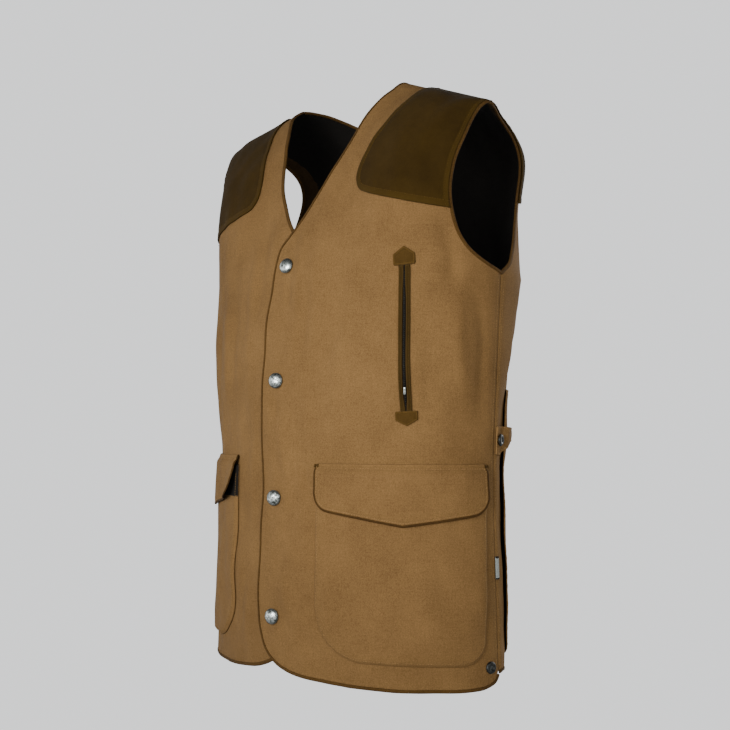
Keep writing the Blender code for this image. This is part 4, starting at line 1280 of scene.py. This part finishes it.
def make_bindings():
    reach = BINDING_R + SEAM
    middle = WALL / 2
    edge = np.concatenate((smooth_path(FRONT_EDGE, TAPE_STEP),
                           smooth_path(FRONT_HEM, TAPE_STEP)[1:]))
    lines = {
        "front_left": beside("front", edge, lambda s, t: left_lift(s, t) + middle, reach),
        "front_right": beside("front", edge * (-1, 1), flat_lift(middle), -reach),
        "back_neck": beside("back", smooth_path(NECK_BACK, TAPE_STEP), flat_lift(middle), -reach),
        "back_hem": beside("back", smooth_path(BACK_HEM, TAPE_STEP), flat_lift(middle), -reach),
    }
    for name, way in lines.items():
        piece = swept_tape(f"tape_{name}", *(row[:-1] for row in way), TAPE)
        declare(piece, [f"binding_{name}"],
                f"canvas_{name}" if "front" in name else "canvas_back")
    for name, flip in (("left", 1), ("right", -1)):
        front, back = (
            beside(side, smooth_path(hole, TAPE_STEP) * (flip, 1), flat_lift(middle),
                   way * reach * flip)
            for side, hole, way in (("front", ARMHOLE_FRONT, 1), ("back", ARMHOLE_BACK, -1)))
        loop = [np.concatenate(((f[:1] + b[:1]) / 2, f[1:-1], (f[-1:] + b[-1:]) / 2, b[-2:0:-1]))
                for f, b in zip(front, back)]
        piece = swept_tape(f"tape_armhole_{name}", *loop, TAPE, closed=True)
        declare(piece, [f"binding_armhole_{name}"], f"canvas_front_{name}")
    print("bindings:", len(lines) + 2)


make_bindings()

# %% [markdown]
# ## Pockets and flaps
# Each lower pocket is a patch of canvas, sewn down round its edge and a little full inside it.
# Its flap is sewn along the top and lies over the mouth. The flap is two layers turned out,
# with a row of stitches inside its free edge. The right flap's front corner has curled open.
# A strip along each flap's free edge is painted dark, its turned edge and painted shade beneath
# it, and the top of each pocket is painted near-black as painted shade under its flap.

# %% Pockets and flaps
LEFT_FLAP = ((65.5, -219, 3), (66.5, -272, 24), (176, -290, 18), (274.5, -275, 24),
             (272, -219, 3))
LEFT_POCKET = ((67, -231, 2), (66.5, -443, 64), (266, -444, 30), (274.5, -231, 2))
RIGHT_FLAP = ((-284, -211, 3), (-282, -264, 24), (-187, -279, 18),
              (-91, -262, 22), (-89, -211, 3))
RIGHT_POCKET = ((-282.5, -223, 2), (-272, -444, 26), (-88, -443, 64),
                (-88.5, -223, 2))
POCKET_RISE = 2.6
POCKET_RIM = 4.0
MOUTH_RISE = 1.4
MOUTH_RUN = 60.0
FLAP_CLEAR = 1.5
FLAP_DROP = 70.0
FLAP_HANG = 1.0
OPEN_FLAP_HANG = 18.0
OPEN_FLAP_REACH = (86.0, 136.0)
POCKET_STITCH = 3.6
FLAP_STITCH = 4.4
FLAP_TOP_STITCH = 5.0
# A pocket's fourth finish is near-black, painted shade on its outer face just under the flap.
POCKET_FINISH = (CANVAS, LINING_AND_PAINTED_SHADE, CANVAS, LINING_AND_PAINTED_SHADE)
# A flap's rim and fourth finish are the dark edge finish, its turned edge and painted shade.
FLAP_FINISH = (CANVAS, LINING_AND_PAINTED_SHADE, CANVAS_EDGE_AND_SHADE, CANVAS_EDGE_AND_SHADE)
# Width of that dark strip along a flap's free edge.
FLAP_EDGE_AND_SHADE = 2.7
# How far below its mouth each pocket's outer face is painted near-black as shade under the flap.
MOUTH_PAINTED_SHADE = {"left": 20.0, "right": 40.0}
BAR_STEP = 0.45
BAR_COUNT = 9
BAR_HALF = 2.0
BAR_DROP = 2.6
SEWN_TOP_GAP = 10.0
FLAP_FREE_GAP = 0.5
FLAP_CORNER = 2.0
FLAP_RISE = (0.0, 12.0)
FLAP_BELLY_FROM = 8.0
HANG_POWER = 1.4
POCKET_STEP = 3.2


def pocket_lift(outline, base, mouth_t):
    """A patch pocket's inner face: sewn down at its edge, full inside it."""
    def lift(s, t):
        away = path_distance(np.stack((s, t), -1).reshape(-1, 2), outline)[0].reshape(np.shape(s))
        mouth = ease(t, mouth_t - MOUTH_RUN, mouth_t)
        rise = POCKET_RISE * (1 - mouth) + MOUTH_RISE * mouth
        return base(s, t) + WALL + LAID + rise * ease(away, 0.0, POCKET_RIM)
    return lift


def flap_lift(base, top_t, open_hang):
    """A flap's inner face: sewn down along its top, clear of the pocket below it."""
    def lift(s, t):
        drop = np.maximum(top_t - t, 0.0)
        over = (MOUTH_RISE + WALL + FLAP_CLEAR) * ease(drop, *FLAP_RISE)
        over = over + (POCKET_RISE - MOUTH_RISE) * ease(drop, FLAP_BELLY_FROM, FLAP_DROP)
        hang = FLAP_HANG + open_hang * (1 - ease(np.abs(s), *OPEN_FLAP_REACH))
        return base(s, t) + WALL + LAID + over + hang * (drop / FLAP_DROP) ** HANG_POWER
    return lift


def open_run(path, keep):
    """The longest run of a closed path's points that keep(points) accepts."""
    good = keep(path)
    start = next(i for i in range(len(path)) if good[i] and not good[i - 1])
    order = [(start + k) % len(path) for k in range(len(path))]
    count = next(k for k, i in enumerate(order) if not good[i])
    return path[order[:count]]


def below(level):
    return lambda points: points[:, 1] < level


def bartack(s, t):
    """Short, close stitches across the cloth's edge, as paths on the flat."""
    middle = (BAR_COUNT - 1) / 2
    heights = [t + (k - middle) * BAR_STEP for k in range(BAR_COUNT)]
    return [np.array([(s - BAR_HALF, height), (s + BAR_HALF, height)]) for height in heights]


def make_pockets():
    for name, corners, flap, base, open_hang in (
            ("left", LEFT_POCKET, LEFT_FLAP, left_lift, 0.0),
            ("right", RIGHT_POCKET, RIGHT_FLAP, flat_lift(0.0), OPEN_FLAP_HANG)):
        outline = rounded(corners, FINE_STEP)
        mouth_t, top_t = corners[0][1], flap[0][1]
        lift = pocket_lift(outline, base, mouth_t)
        sewn = open_run(inset(outline, POCKET_STITCH), below(mouth_t - SEWN_TOP_GAP))
        # Near its mouth the pocket's outer face takes the near-black finish, painted shade under
        # the flap.
        piece, _ = cloth_sheet(f"canvas_pocket_{name}", front_place, outline, lift, WALL,
                               POCKET_FINISH, step=POCKET_STEP, seams=(Seam(sewn, False, THREAD),),
                               edging_and_shade=lambda p, foot=mouth_t - MOUTH_PAINTED_SHADE[name]: p[:, 1] > foot)
        declare_cloth(piece, f"pocket_{name}", "canvas", front_place, outline, lift,
                      f"canvas_front_{name}")
        outline = rounded(flap, FINE_STEP)
        lift = flap_lift(base, top_t, open_hang)
        free = open_run(inset(outline, FLAP_STITCH), below(top_t - FLAP_STITCH - FLAP_FREE_GAP))
        ends = outline[:, 0].min() + FLAP_CORNER, outline[:, 0].max() - FLAP_CORNER
        top = straight(*((s, top_t - FLAP_TOP_STITCH) for s in ends), FINE_STEP)
        rim = open_run(outline, below(top_t - FLAP_CORNER))
        # Along its free edge the flap's outer face takes the dark edge finish, painted shade
        # beneath it.
        piece, on_top = cloth_sheet(
            f"canvas_flap_{name}", front_place, outline, lift, WALL, FLAP_FINISH, step=FINE_STEP,
            seams=(Seam(free, False, THREAD), Seam(top, False, THREAD)),
            edging_and_shade=lambda p, rim=rim: path_distance(p, rim, False)[0] < FLAP_EDGE_AND_SHADE)
        for s in ends:
            bars = bartack(s, top_t - BAR_DROP)
            STITCH_ROWS[piece.name] += [(DARK_THREAD, on_top(bar), False) for bar in bars]
        declare_cloth(piece, f"flap_{name}", "canvas", front_place, outline, lift,
                      f"canvas_front_{name}")
        print(piece.name, len(piece.data.polygons))


make_pockets()

# %% [markdown]
# ## Chest zip
# A covered zip stands upright on the left chest. Two suede lips nearly meet over the chain,
# and an arrow-headed suede tab is sewn over each end. The teeth sit in the slit between the
# lips, and the closed slider rests near the foot.

# %% Chest zip
ZIP_TOP = (170.4, 5.6)
ZIP_FOOT = (179.4, -159.0)
ZIP_LENGTH = math.dist(ZIP_TOP, ZIP_FOOT)
ZIP_LIP = 5.2
ZIP_SLIT = 3.4
SLIT_OPENS, SLIT_CLOSES, SLIT_END = (0.0, 0.28), (-0.985, -0.9), 0.25
ZIP_TAB_WIDTH = 26.0
ZIP_TAB_SIDE = 10.0
ZIP_TAB_POINT = 7.0
SLIDER_AT = 0.86
SLIDER = (2.8, 8.0, 1.6)
SLIDER_ROUND = 0.4
LIP_WALL = 1.9
CHAIN_WALL = 1.1
ZIP_TAB_WALL = 1.6
LABEL_WALL = 1.0
ON_PANEL = flat_lift(WALL + LAID)
LIP_STITCH = 1.3
TAB_STITCH = 2.0
LIP_STEP, LIP_END_STEP = 1.6, 1.2
ZIP_TAPE_WALL = 0.5
TAB_STEP, TAB_ROUND, TAB_ARC_STEP = 1.8, 1.5, 1.6


def zip_frame(along, across):
    """Point (s, t) of the chest zip: along from top to foot, across to its right."""
    top = np.array(ZIP_TOP)
    run = np.array(ZIP_FOOT) - top
    run = run / np.linalg.norm(run)
    return top + np.outer(np.atleast_1d(along), run) + np.outer(np.atleast_1d(across),
                                                                (-run[1], run[0]))


def zip_line(start, end, across, step=FINE_STEP):
    along = np.linspace(start, end, int((end - start) / step) + 1)
    return zip_frame(along, across(along) if callable(across) else np.full(along.shape, across))


def slit_half(along):
    """Half the width of the slit, which closes towards both ends."""
    share = along / ZIP_LENGTH
    open_share = ease(share, *SLIT_OPENS) * ease(-share, *SLIT_CLOSES)
    return ZIP_SLIT / 2 * (SLIT_END + (1 - SLIT_END) * open_share)


def make_zip():
    half = ZIP_SLIT / 2
    ends = (SEAM, ZIP_LENGTH - SEAM)
    for name, sign in (("inner", -1), ("outer", 1)):
        edges = [zip_line(*ends, lambda a, sign=sign: sign * (slit_half(a) + SEAM)),
                 zip_line(*ends, sign * (half + ZIP_LIP))][::sign]
        outline = joined(edges[0], straight(edges[0][-1], edges[1][-1], LIP_END_STEP),
                         edges[1][::-1], straight(edges[1][0], edges[0][0], LIP_END_STEP))
        seams = [Seam(zip_line(*ends, sign * (half + ZIP_LIP - LIP_STITCH)), False, DARK_THREAD)]
        piece, _ = cloth_sheet(f"suede_lip_{name}", front_place, outline, ON_PANEL, LIP_WALL,
                               [SUEDE_LIP] * 3, step=LIP_STEP, seams=seams)
        declare(piece, [f"zip_lip_{name}"], "canvas_front_left")
    outline = joined(zip_line(*ends, lambda a: -slit_half(a)), zip_line(*ends, slit_half)[::-1])
    piece, _ = cloth_sheet("zip_tape", front_place, outline, ON_PANEL, ZIP_TAPE_WALL,
                           [ZIP_TAPE] * 3, step=LIP_STEP)
    declare(piece, ["zip_chain"], "canvas_front_left")
    wide = ZIP_TAB_WIDTH / 2
    for name, start, sign in (("top", 0.0, -1.0), ("foot", ZIP_LENGTH, 1.0)):
        side = sign * ZIP_TAB_SIDE
        point = side + sign * ZIP_TAB_POINT
        corners = ((0.0, -wide), (side, -wide), (point, 0.0), (side, wide), (0.0, wide))
        outline = rounded([(*zip_frame(start + a, b)[0], TAB_ROUND) for a, b in corners],
                          TAB_ARC_STEP)
        seams = (Seam(inset(outline, TAB_STITCH), True, DARK_THREAD),)
        piece, _ = cloth_sheet(f"suede_tab_{name}", front_place, outline, ON_PANEL, ZIP_TAB_WALL,
                               [SUEDE_TAB] * 3, step=TAB_STEP, seams=seams)
        declare_cloth(piece, f"zip_tab_{name}", "suede", front_place, outline, ON_PANEL,
                      "canvas_front_left")
    print("zip length mm:", round(ZIP_LENGTH, 1))


make_zip()

# %% [markdown]
# ## Game pouch, side tabs and label
# Across the lower back lies a wide pouch for game, sewn along its top and its foot. Its sides
# are open, and a canvas tab with a dark snap pulls each of them in. The tab starts on the
# front panel and crosses the side seam. The label in the left side seam is left plain.

# %% Pouch, tabs and label
POUCH_TOP, POUCH_FOOT = -132.0, -442.0
POUCH = ((-256, POUCH_TOP, 22), (-258, POUCH_FOOT, 42), (258, POUCH_FOOT, 42),
         (256, POUCH_TOP, 22))
POUCH_STAND = 3.6
TAB_STAND = 5.2
POUCH_BODY = 2.0
POUCH_SPREAD = (130.0, 235.0)
TAB = ((288, -176, 2), (288, -208, 2), (300, -210, 3), (322, -194, 8),
       (345, -191, 4), (345, -176, 2))
TAB_CLIMB = (303.0, 314.0)
TAB_SNAP = (296.0, -191.5)
TAB_SNAP_GAP = 1.1
HEM_SNAP = (273.5, -447.0)
LABEL = ((284.5, -324, 0.6), (284.5, -350, 0.6), (292.3, -350, 0.6), (292.3, -324, 0.6))
LABEL_END = 2.4
POUCH_STITCH = 4.0
POUCH_SECOND_STITCH, POUCH_SECOND_END = 11.0, 226.0
POUCH_BELLY_POWER = 0.6
SIDE_TAB_ARC_STEP, LABEL_ARC_STEP, LABEL_STEP = 2.0, 1.5, 1.6
TAB_EDGE_STITCH = 3.0


def pouch_lift(s, t):
    """The pouch is sewn along top and bottom, and its open sides stand off."""
    height = np.clip((t - POUCH_FOOT) / (POUCH_TOP - POUCH_FOOT), 0.0, 1.0)
    belly = np.sin(math.pi * height) ** POUCH_BELLY_POWER
    stand = POUCH_BODY + (POUCH_STAND - POUCH_BODY) * ease(np.abs(s), *POUCH_SPREAD)
    return WALL + LAID + stand * belly


def tab_lift(s, t):
    """The side tab rises from the front panel on to the pouch's standing edge."""
    return WALL + LAID + (TAB_STAND + WALL + LAID) * ease(s, *TAB_CLIMB) + 0.0 * t


def make_pouch():
    outline = rounded(POUCH)
    second = [(s, POUCH_TOP - POUCH_SECOND_STITCH) for s in (-POUCH_SECOND_END, POUCH_SECOND_END)]
    seams = [Seam(inset(outline, POUCH_STITCH), True, THREAD),
             Seam(straight(*second), False, THREAD)]
    # Its rim takes the dark edge finish, partly painted shade along the pouch's edges.
    piece, _ = cloth_sheet("canvas_pouch", back_place, outline, pouch_lift, WALL,
                           (CANVAS, LINING_AND_PAINTED_SHADE, CANVAS_EDGE_AND_SHADE), seams=seams)
    declare_cloth(piece, "game_pouch", "canvas", back_place, outline, pouch_lift, "canvas_back")
    return piece


def make_tabs():
    for name in ("left", "right"):
        place = girdle_place(name)
        outline = rounded(TAB, SIDE_TAB_ARC_STEP)
        piece, _ = cloth_sheet(f"canvas_tab_{name}", place, outline, tab_lift, WALL, [CANVAS] * 3,
                               step=FINE_STEP,
                               seams=(Seam(inset(outline, TAB_EDGE_STITCH), True, THREAD),))
        declare_cloth(piece, f"side_tab_{name}", "canvas", place, outline, tab_lift,
                      f"canvas_front_{name}")
    outline = rounded(LABEL, LABEL_ARC_STEP)
    lift = flat_lift(WALL + LAID)
    top, foot = LABEL[0][1], LABEL[1][1]
    piece, _ = cloth_sheet("plain_label", girdle_place("left"), outline, lift, LABEL_WALL,
                           [LABEL_CLOTH] * 3 + [LINING_AND_PAINTED_SHADE], step=LABEL_STEP,
                           edging_and_shade=lambda p: np.abs(p[:, 1] - (top + foot) / 2) > (top - foot) / 2
                           - LABEL_END)
    declare(piece, ["side_label"], "canvas_front_left")
    return piece


print(make_pouch().name, make_tabs().name)

# %% [markdown]
# ## Snaps
# Four domed caps of antique silver close the front, and small gunmetal ring snaps sit on the
# hem and on the side tabs. Each is a profile turned round its axis, with a rolled flange and
# a shallow ring pressed into the dome, so that it catches light as stamped metal does. The
# caps' outer flange is a darker metal, painted shade round their edge, and the ring snaps'
# middle is a brighter metal, a painted highlight.

# %% Snaps
CAP_PROFILE = (
    (0.0, 4.3), (1.2, 4.27), (2.4, 4.15), (3.6, 3.95), (4.7, 3.68), (5.7, 3.3), (6.6, 2.86),
    (7.4, 2.36), (8.0, 1.88), (8.45, 1.42), (8.7, 1.12), (9.0, 1.05), (9.25, 0.82), (9.3, 0.5),
    (9.15, 0.15), (8.9, 0.0), (4.0, -0.2), (3.6, -1.9), (0.0, -1.9),
)
RING_PROFILE = (
    (0.0, 1.5), (1.6, 1.5), (2.3, 1.55), (2.7, 1.8), (3.1, 2.3), (3.7, 2.55), (4.6, 2.6),
    (5.5, 2.4), (6.2, 1.9), (6.7, 1.25), (6.9, 0.7), (6.85, 0.2), (6.5, 0.0), (0.0, 0.0),
)
TURN_STEPS = 40
SNAP_LEAN = math.radians(17.0)
SNAP_SEAT = 3.3
# Cap faces further out than this take the darker metal, painted shade round the edge.
CAP_RIM = 8.1
# Ring snap faces nearer the axis than this take the brighter metal, a painted highlight.
RING_CENTRE = 1.7
SLOPE_PROBE = 4.0


def turned(name, profile, matrix, finish, rim_finish, rim_from):
    """A closed piece turned from (radius, height) points round the matrix's own Z.

    Faces further out than rim_from take the rim's finish.
    """
    verts = []
    rings = []
    for radius, height in profile:
        steps = 1 if radius == 0.0 else TURN_STEPS
        rings.append(range(len(verts), len(verts) + steps))
        for k in range(steps):
            angle = k * 2 * math.pi / TURN_STEPS
            spot = Vector((radius * math.cos(angle), radius * math.sin(angle), height))
            verts.append(matrix @ (spot * MM))
    faces = []
    index = []
    for above, below, start, end in zip(rings, rings[1:], profile, profile[1:]):
        index += [int((start[0] + end[0]) / 2 > rim_from)] * TURN_STEPS
        for k in range(TURN_STEPS):
            m = (k + 1) % TURN_STEPS
            if len(above) == 1:
                faces.append((above[0], below[k], below[m]))
            elif len(below) == 1:
                faces.append((above[k], below[0], above[m]))
            else:
                faces.append((above[k], below[k], below[m], above[m]))
    mesh = new_mesh(name, verts, faces, (finish, rim_finish))
    mesh.polygons.foreach_set("material_index", index)
    mesh.shade_smooth()
    return linked(name, mesh)


def on_cloth(place, s, t, lift, height, gap=SEAM, sign=1.0, lean=0.0):
    """Matrix that stands +Z on the cloth's outer face at (s, t), leaning to the wearer's left."""
    def top(a, b):
        a, b = np.array([float(a)]), np.array([float(b)])
        return place(a, b, lift(a, b) + height)[0]
    across = top(s + SLOPE_PROBE, t) - top(s - SLOPE_PROBE, t)
    along = top(s, t + SLOPE_PROBE) - top(s, t - SLOPE_PROBE)
    normal = Vector(np.cross(across, along) * sign).normalized()
    turn = (Matrix.Rotation(lean, 3, "Z") @ normal).to_track_quat("Z", "Y").to_matrix().to_4x4()
    return Matrix.Translation((Vector(top(s, t)) + normal * gap) * MM) @ turn


def make_snaps():
    for k in range(SNAP_COUNT):
        matrix = on_cloth(front_place, SNAP_S, t_of_z(SNAP_TOP_Z - k * SNAP_PITCH), left_lift, WALL,
                          SNAP_SEAT, lean=SNAP_LEAN)
        piece = turned(f"silver_snap_{k + 1}", CAP_PROFILE, matrix, SILVER, SHADED_SILVER_RIM, CAP_RIM)
        declare(piece, [f"snap_{k + 1}"], "canvas_front_left")
    for name, flip in (("left", 1.0), ("right", -1.0)):
        hem = on_cloth(front_place, HEM_SNAP[0] * flip, HEM_SNAP[1], flat_lift(0.0), WALL)
        tab = on_cloth(girdle_place(name), *TAB_SNAP, tab_lift, WALL, TAB_SNAP_GAP, flip)
        for where, matrix, sheet in (("hem", hem, "front"), ("tab", tab, "tab")):
            piece = turned(f"dark_snap_{where}_{name}", RING_PROFILE, matrix, GUNMETAL_HIGHLIGHT,
                           GUNMETAL, RING_CENTRE)
            declare(piece, [f"{where}_snap_{name}"], f"canvas_{sheet}_{name}")
    print("snaps:", SNAP_COUNT + 4)


make_snaps()

# %% [markdown]
# ## Stitches
# A topstitch is a short, plump loop of thread that dives into the cloth at both ends. There
# are thousands, so Geometry Nodes make them: the seam's path is resampled at the stitch
# length, a small stretched ball is placed on every point along the path, and the result is
# turned into a plain mesh. The tree is built once and each thread colour sets its inputs.

# %% Row of repeated shapes
SIZE_RANGE = (0.86, 1.08)


def row_tree(name, cube=False):
    """Geometry Nodes: a small shape at even steps along the curve, aligned to it."""
    tree = bpy.data.node_groups.new(name, "GeometryNodeTree")
    tree.is_modifier = True
    tree.interface.new_socket("Geometry", in_out="INPUT", socket_type="NodeSocketGeometry")
    for label, kind, value in (("Pitch", "Float", 0.003), ("Length", "Float", 0.0024),
                               ("Width", "Float", 0.0006), ("Height", "Float", 0.0005),
                               ("Seed", "Int", 1)):
        socket = tree.interface.new_socket(label, in_out="INPUT", socket_type=f"NodeSocket{kind}")
        socket.default_value = value
    tree.interface.new_socket("Finish", in_out="INPUT", socket_type="NodeSocketMaterial")
    tree.interface.new_socket("Geometry", in_out="OUTPUT", socket_type="NodeSocketGeometry")
    given = tree.nodes.new("NodeGroupInput").outputs
    link = tree.links.new
    spaced = tree.nodes.new("GeometryNodeResampleCurve")
    spaced.mode = "LENGTH"
    link(given["Geometry"], spaced.inputs["Curve"])
    link(given["Pitch"], spaced.inputs["Length"])
    tangent = tree.nodes.new("GeometryNodeInputTangent").outputs[0]
    normal = tree.nodes.new("GeometryNodeInputNormal").outputs[0]
    turn = add(tree, "FunctionNodeAlignRotationToVector", axis="X")
    link(tangent, turn.inputs["Vector"])
    if cube:
        upright = add(tree, "FunctionNodeAlignRotationToVector", axis="Z", pivot_axis="X")
        link(turn.outputs[0], upright.inputs["Rotation"])
        link(normal, upright.inputs["Vector"])
        turn = upright
        shape = tree.nodes.new("GeometryNodeMeshCube").outputs["Mesh"]
    else:
        ball = tree.nodes.new("GeometryNodeMeshUVSphere")
        ball.inputs["Segments"].default_value = 6
        ball.inputs["Rings"].default_value = 4
        ball.inputs["Radius"].default_value = 0.5
        shape = ball.outputs["Mesh"]
    size = tree.nodes.new("ShaderNodeCombineXYZ")
    for axis, label in zip("XYZ", ("Length", "Width", "Height")):
        link(given[label], size.inputs[axis])
    vary = tree.nodes.new("FunctionNodeRandomValue")
    vary.data_type = "FLOAT"
    vary.inputs[2].default_value, vary.inputs[3].default_value = SIZE_RANGE
    link(given["Seed"], vary.inputs["Seed"])
    scale = add(tree, "ShaderNodeVectorMath", size.outputs[0], operation="SCALE")
    link(vary.outputs[1], scale.inputs["Scale"])
    placed = tree.nodes.new("GeometryNodeInstanceOnPoints")
    link(spaced.outputs[0], placed.inputs["Points"])
    link(shape, placed.inputs["Instance"])
    link(turn.outputs[0], placed.inputs["Rotation"])
    link(scale.outputs[0], placed.inputs["Scale"])
    real = tree.nodes.new("GeometryNodeRealizeInstances")
    link(placed.outputs[0], real.inputs[0])
    smooth = tree.nodes.new("GeometryNodeSetShadeSmooth")
    link(real.outputs[0], smooth.inputs["Geometry"])
    smooth.inputs["Shade Smooth"].default_value = not cube
    finish = tree.nodes.new("GeometryNodeSetMaterial")
    link(smooth.outputs[0], finish.inputs["Geometry"])
    link(given["Finish"], finish.inputs["Material"])
    result = tree.nodes.new("NodeGroupOutput")
    link(finish.outputs[0], result.inputs[0])
    return tree


def along_paths(name, tree, paths, **values):
    """Runs a row tree over several paths and returns its result as one plain mesh object."""
    curve = bpy.data.curves.new(name, "CURVE")
    curve.dimensions = "3D"
    for path, closed in paths:
        line = curve.splines.new("POLY")
        line.points.add(len(path) - 1)
        line.points.foreach_set("co", np.column_stack((path * MM, np.ones(len(path)))).ravel())
        line.use_cyclic_u = closed
    guide = linked(name + "_guide", curve)
    modifier = guide.modifiers.new("Row", "NODES")
    modifier.node_group = tree
    names = {item.name: item.identifier
             for item in tree.interface.items_tree if item.in_out == "INPUT"}
    for label, value in values.items():
        modifier[names[label]] = value
    bpy.context.view_layer.update()
    evaluated = guide.evaluated_get(bpy.context.evaluated_depsgraph_get())
    mesh = bpy.data.meshes.new_from_object(evaluated)
    mesh.name = name
    bpy.data.objects.remove(guide, do_unlink=True)
    return linked(name, mesh)


STITCH_TREE = row_tree("stitch_row")
print("tree nodes:", len(STITCH_TREE.nodes))

# %% Stitches
STITCH_PITCH = 3.1
STITCH_LENGTH = 2.6
THREAD_WIDTH = 0.62
THREAD_PROUD = 0.12
STITCH_SEED = 5


def lifted(path):
    """The path moved off the cloth, away from the trunk's axis, by the thread's rise."""
    out = path - np.array((0.0, SEAM_Y, 0.0))
    out[:, 2] = 0.0
    return path + unit(out) * THREAD_PROUD


def sew():
    """One object of stitches for each sheet and thread."""
    for sheet, rows in STITCH_ROWS.items():
        for thread in (THREAD, DARK_THREAD):
            paths = [(lifted(path), closed) for own, path, closed in rows if own == thread]
            if not paths:
                continue
            piece = along_paths(f"{thread.name}_{sheet}", STITCH_TREE, paths,
                                Pitch=STITCH_PITCH * MM,
                                Length=STITCH_LENGTH * MM, Width=THREAD_WIDTH * MM,
                                Height=THREAD_WIDTH * MM, Seed=STITCH_SEED, Finish=thread)
            declare(piece, [],
                    sheet if "lip" not in sheet else "canvas_front_left")
            print(piece.name, len(piece.data.polygons))


sew()

# %% [markdown]
# ## Zip teeth and slider
# Two rows of metal teeth stand in the slit, half a pitch apart, so that they mesh. They are
# small blocks, repeated by the same kind of tree with a cube in place of the ball.

# %% Zip teeth and slider
TOOTH_TREE = row_tree("zip_teeth", cube=True)
TOOTH_PITCH = 2.4
TOOTH_LENGTH = 1.2
TOOTH_WIDTH = 1.5
TOOTH_HEIGHT = 0.7
TOOTH_ASIDE = 0.45
TOOTH_LIFT = WALL + LAID + 0.55
TOOTH_SEED = 3
TEETH_MARGIN = 6.0
SLIDER_TAPER = 0.25


def make_teeth():
    paths = []
    for sign in (-1.0, 1.0):
        start = TEETH_MARGIN + (TOOTH_PITCH / 2 if sign > 0 else 0.0)
        line = zip_line(start, ZIP_LENGTH - TEETH_MARGIN, sign * TOOTH_ASIDE)
        paths.append((front_place(line[:, 0], line[:, 1], np.full(len(line), TOOTH_LIFT)), False))
    piece = along_paths("zip_teeth", TOOTH_TREE, paths, Pitch=TOOTH_PITCH * MM,
                        Length=TOOTH_LENGTH * MM,
                        Width=TOOTH_WIDTH * MM, Height=TOOTH_HEIGHT * MM, Seed=TOOTH_SEED,
                        Finish=BLACK_METAL)
    declare(piece, [], "canvas_front_left")
    return piece


def make_slider():
    """Slider body with a low bridge, as one rounded block on the teeth."""
    s, t = zip_frame(SLIDER_AT * ZIP_LENGTH, 0.0)[0]
    matrix = on_cloth(front_place, s, t, ON_PANEL, CHAIN_WALL)
    bpy.ops.mesh.primitive_cube_add(size=1.0)
    slider = bpy.context.active_object
    slider.name = "zip_slider_block"
    for vertex in slider.data.vertices:
        x, y, z = vertex.co
        taper = 1.0 - SLIDER_TAPER * (y > 0)
        vertex.co = Vector((x * SLIDER[0] * taper, y * SLIDER[1], (z + 0.5) * SLIDER[2])) * MM
    bevel = slider.modifiers.new("Rounding", "BEVEL")
    bevel.width = SLIDER_ROUND * MM
    bevel.segments = 3
    evaluated = slider.evaluated_get(bpy.context.evaluated_depsgraph_get())
    mesh = bpy.data.meshes.new_from_object(evaluated)
    slider.modifiers.clear()
    slider.data = mesh
    mesh.transform(matrix)
    mesh.materials.append(SILVER)
    mesh.shade_smooth()
    declare(slider, ["zip_slider"], "canvas_front_left")
    return slider


print(make_teeth().name, make_slider().name)

# %% [markdown]
# ## Floor
# The photograph shows no floor and no shadow, so a plain pale disc lies well below the gilet.

# %% Floor
FLOOR_Z = -1.25
FLOOR_RADIUS = 1.7
FLOOR_SIDES = 96


def make_floor():
    bpy.ops.mesh.primitive_circle_add(vertices=FLOOR_SIDES, radius=FLOOR_RADIUS, fill_type="NGON",
                                      location=(0.0, 0.0, FLOOR_Z))
    floor = bpy.context.active_object
    floor.name = "floor"
    material, _, shader = new_material("pale_floor", 0.9, specular=0.2)
    shader.inputs["Base Color"].default_value = (0.91, 0.92, 0.93, 1.0)
    floor.data.materials.append(material)
    return floor


print(make_floor().name)

# %% [markdown]
# ## What the cloth was cut to
# Each sheet states the flat size it was cut to, measured along the form, so that a program
# that lays the cloth out or simulates it knows how much there is.

# %% Cloth sizes
def state_cuts():
    for piece, place, outline, lift, hangs_from in SHEETS:
        width, length, area = cut_size(place, outline, lift)
        width = max(width, area / length)
        print(f"{piece.name}: {width:.3f} x {length:.3f} m, {area:.4f} m2")


state_cuts()
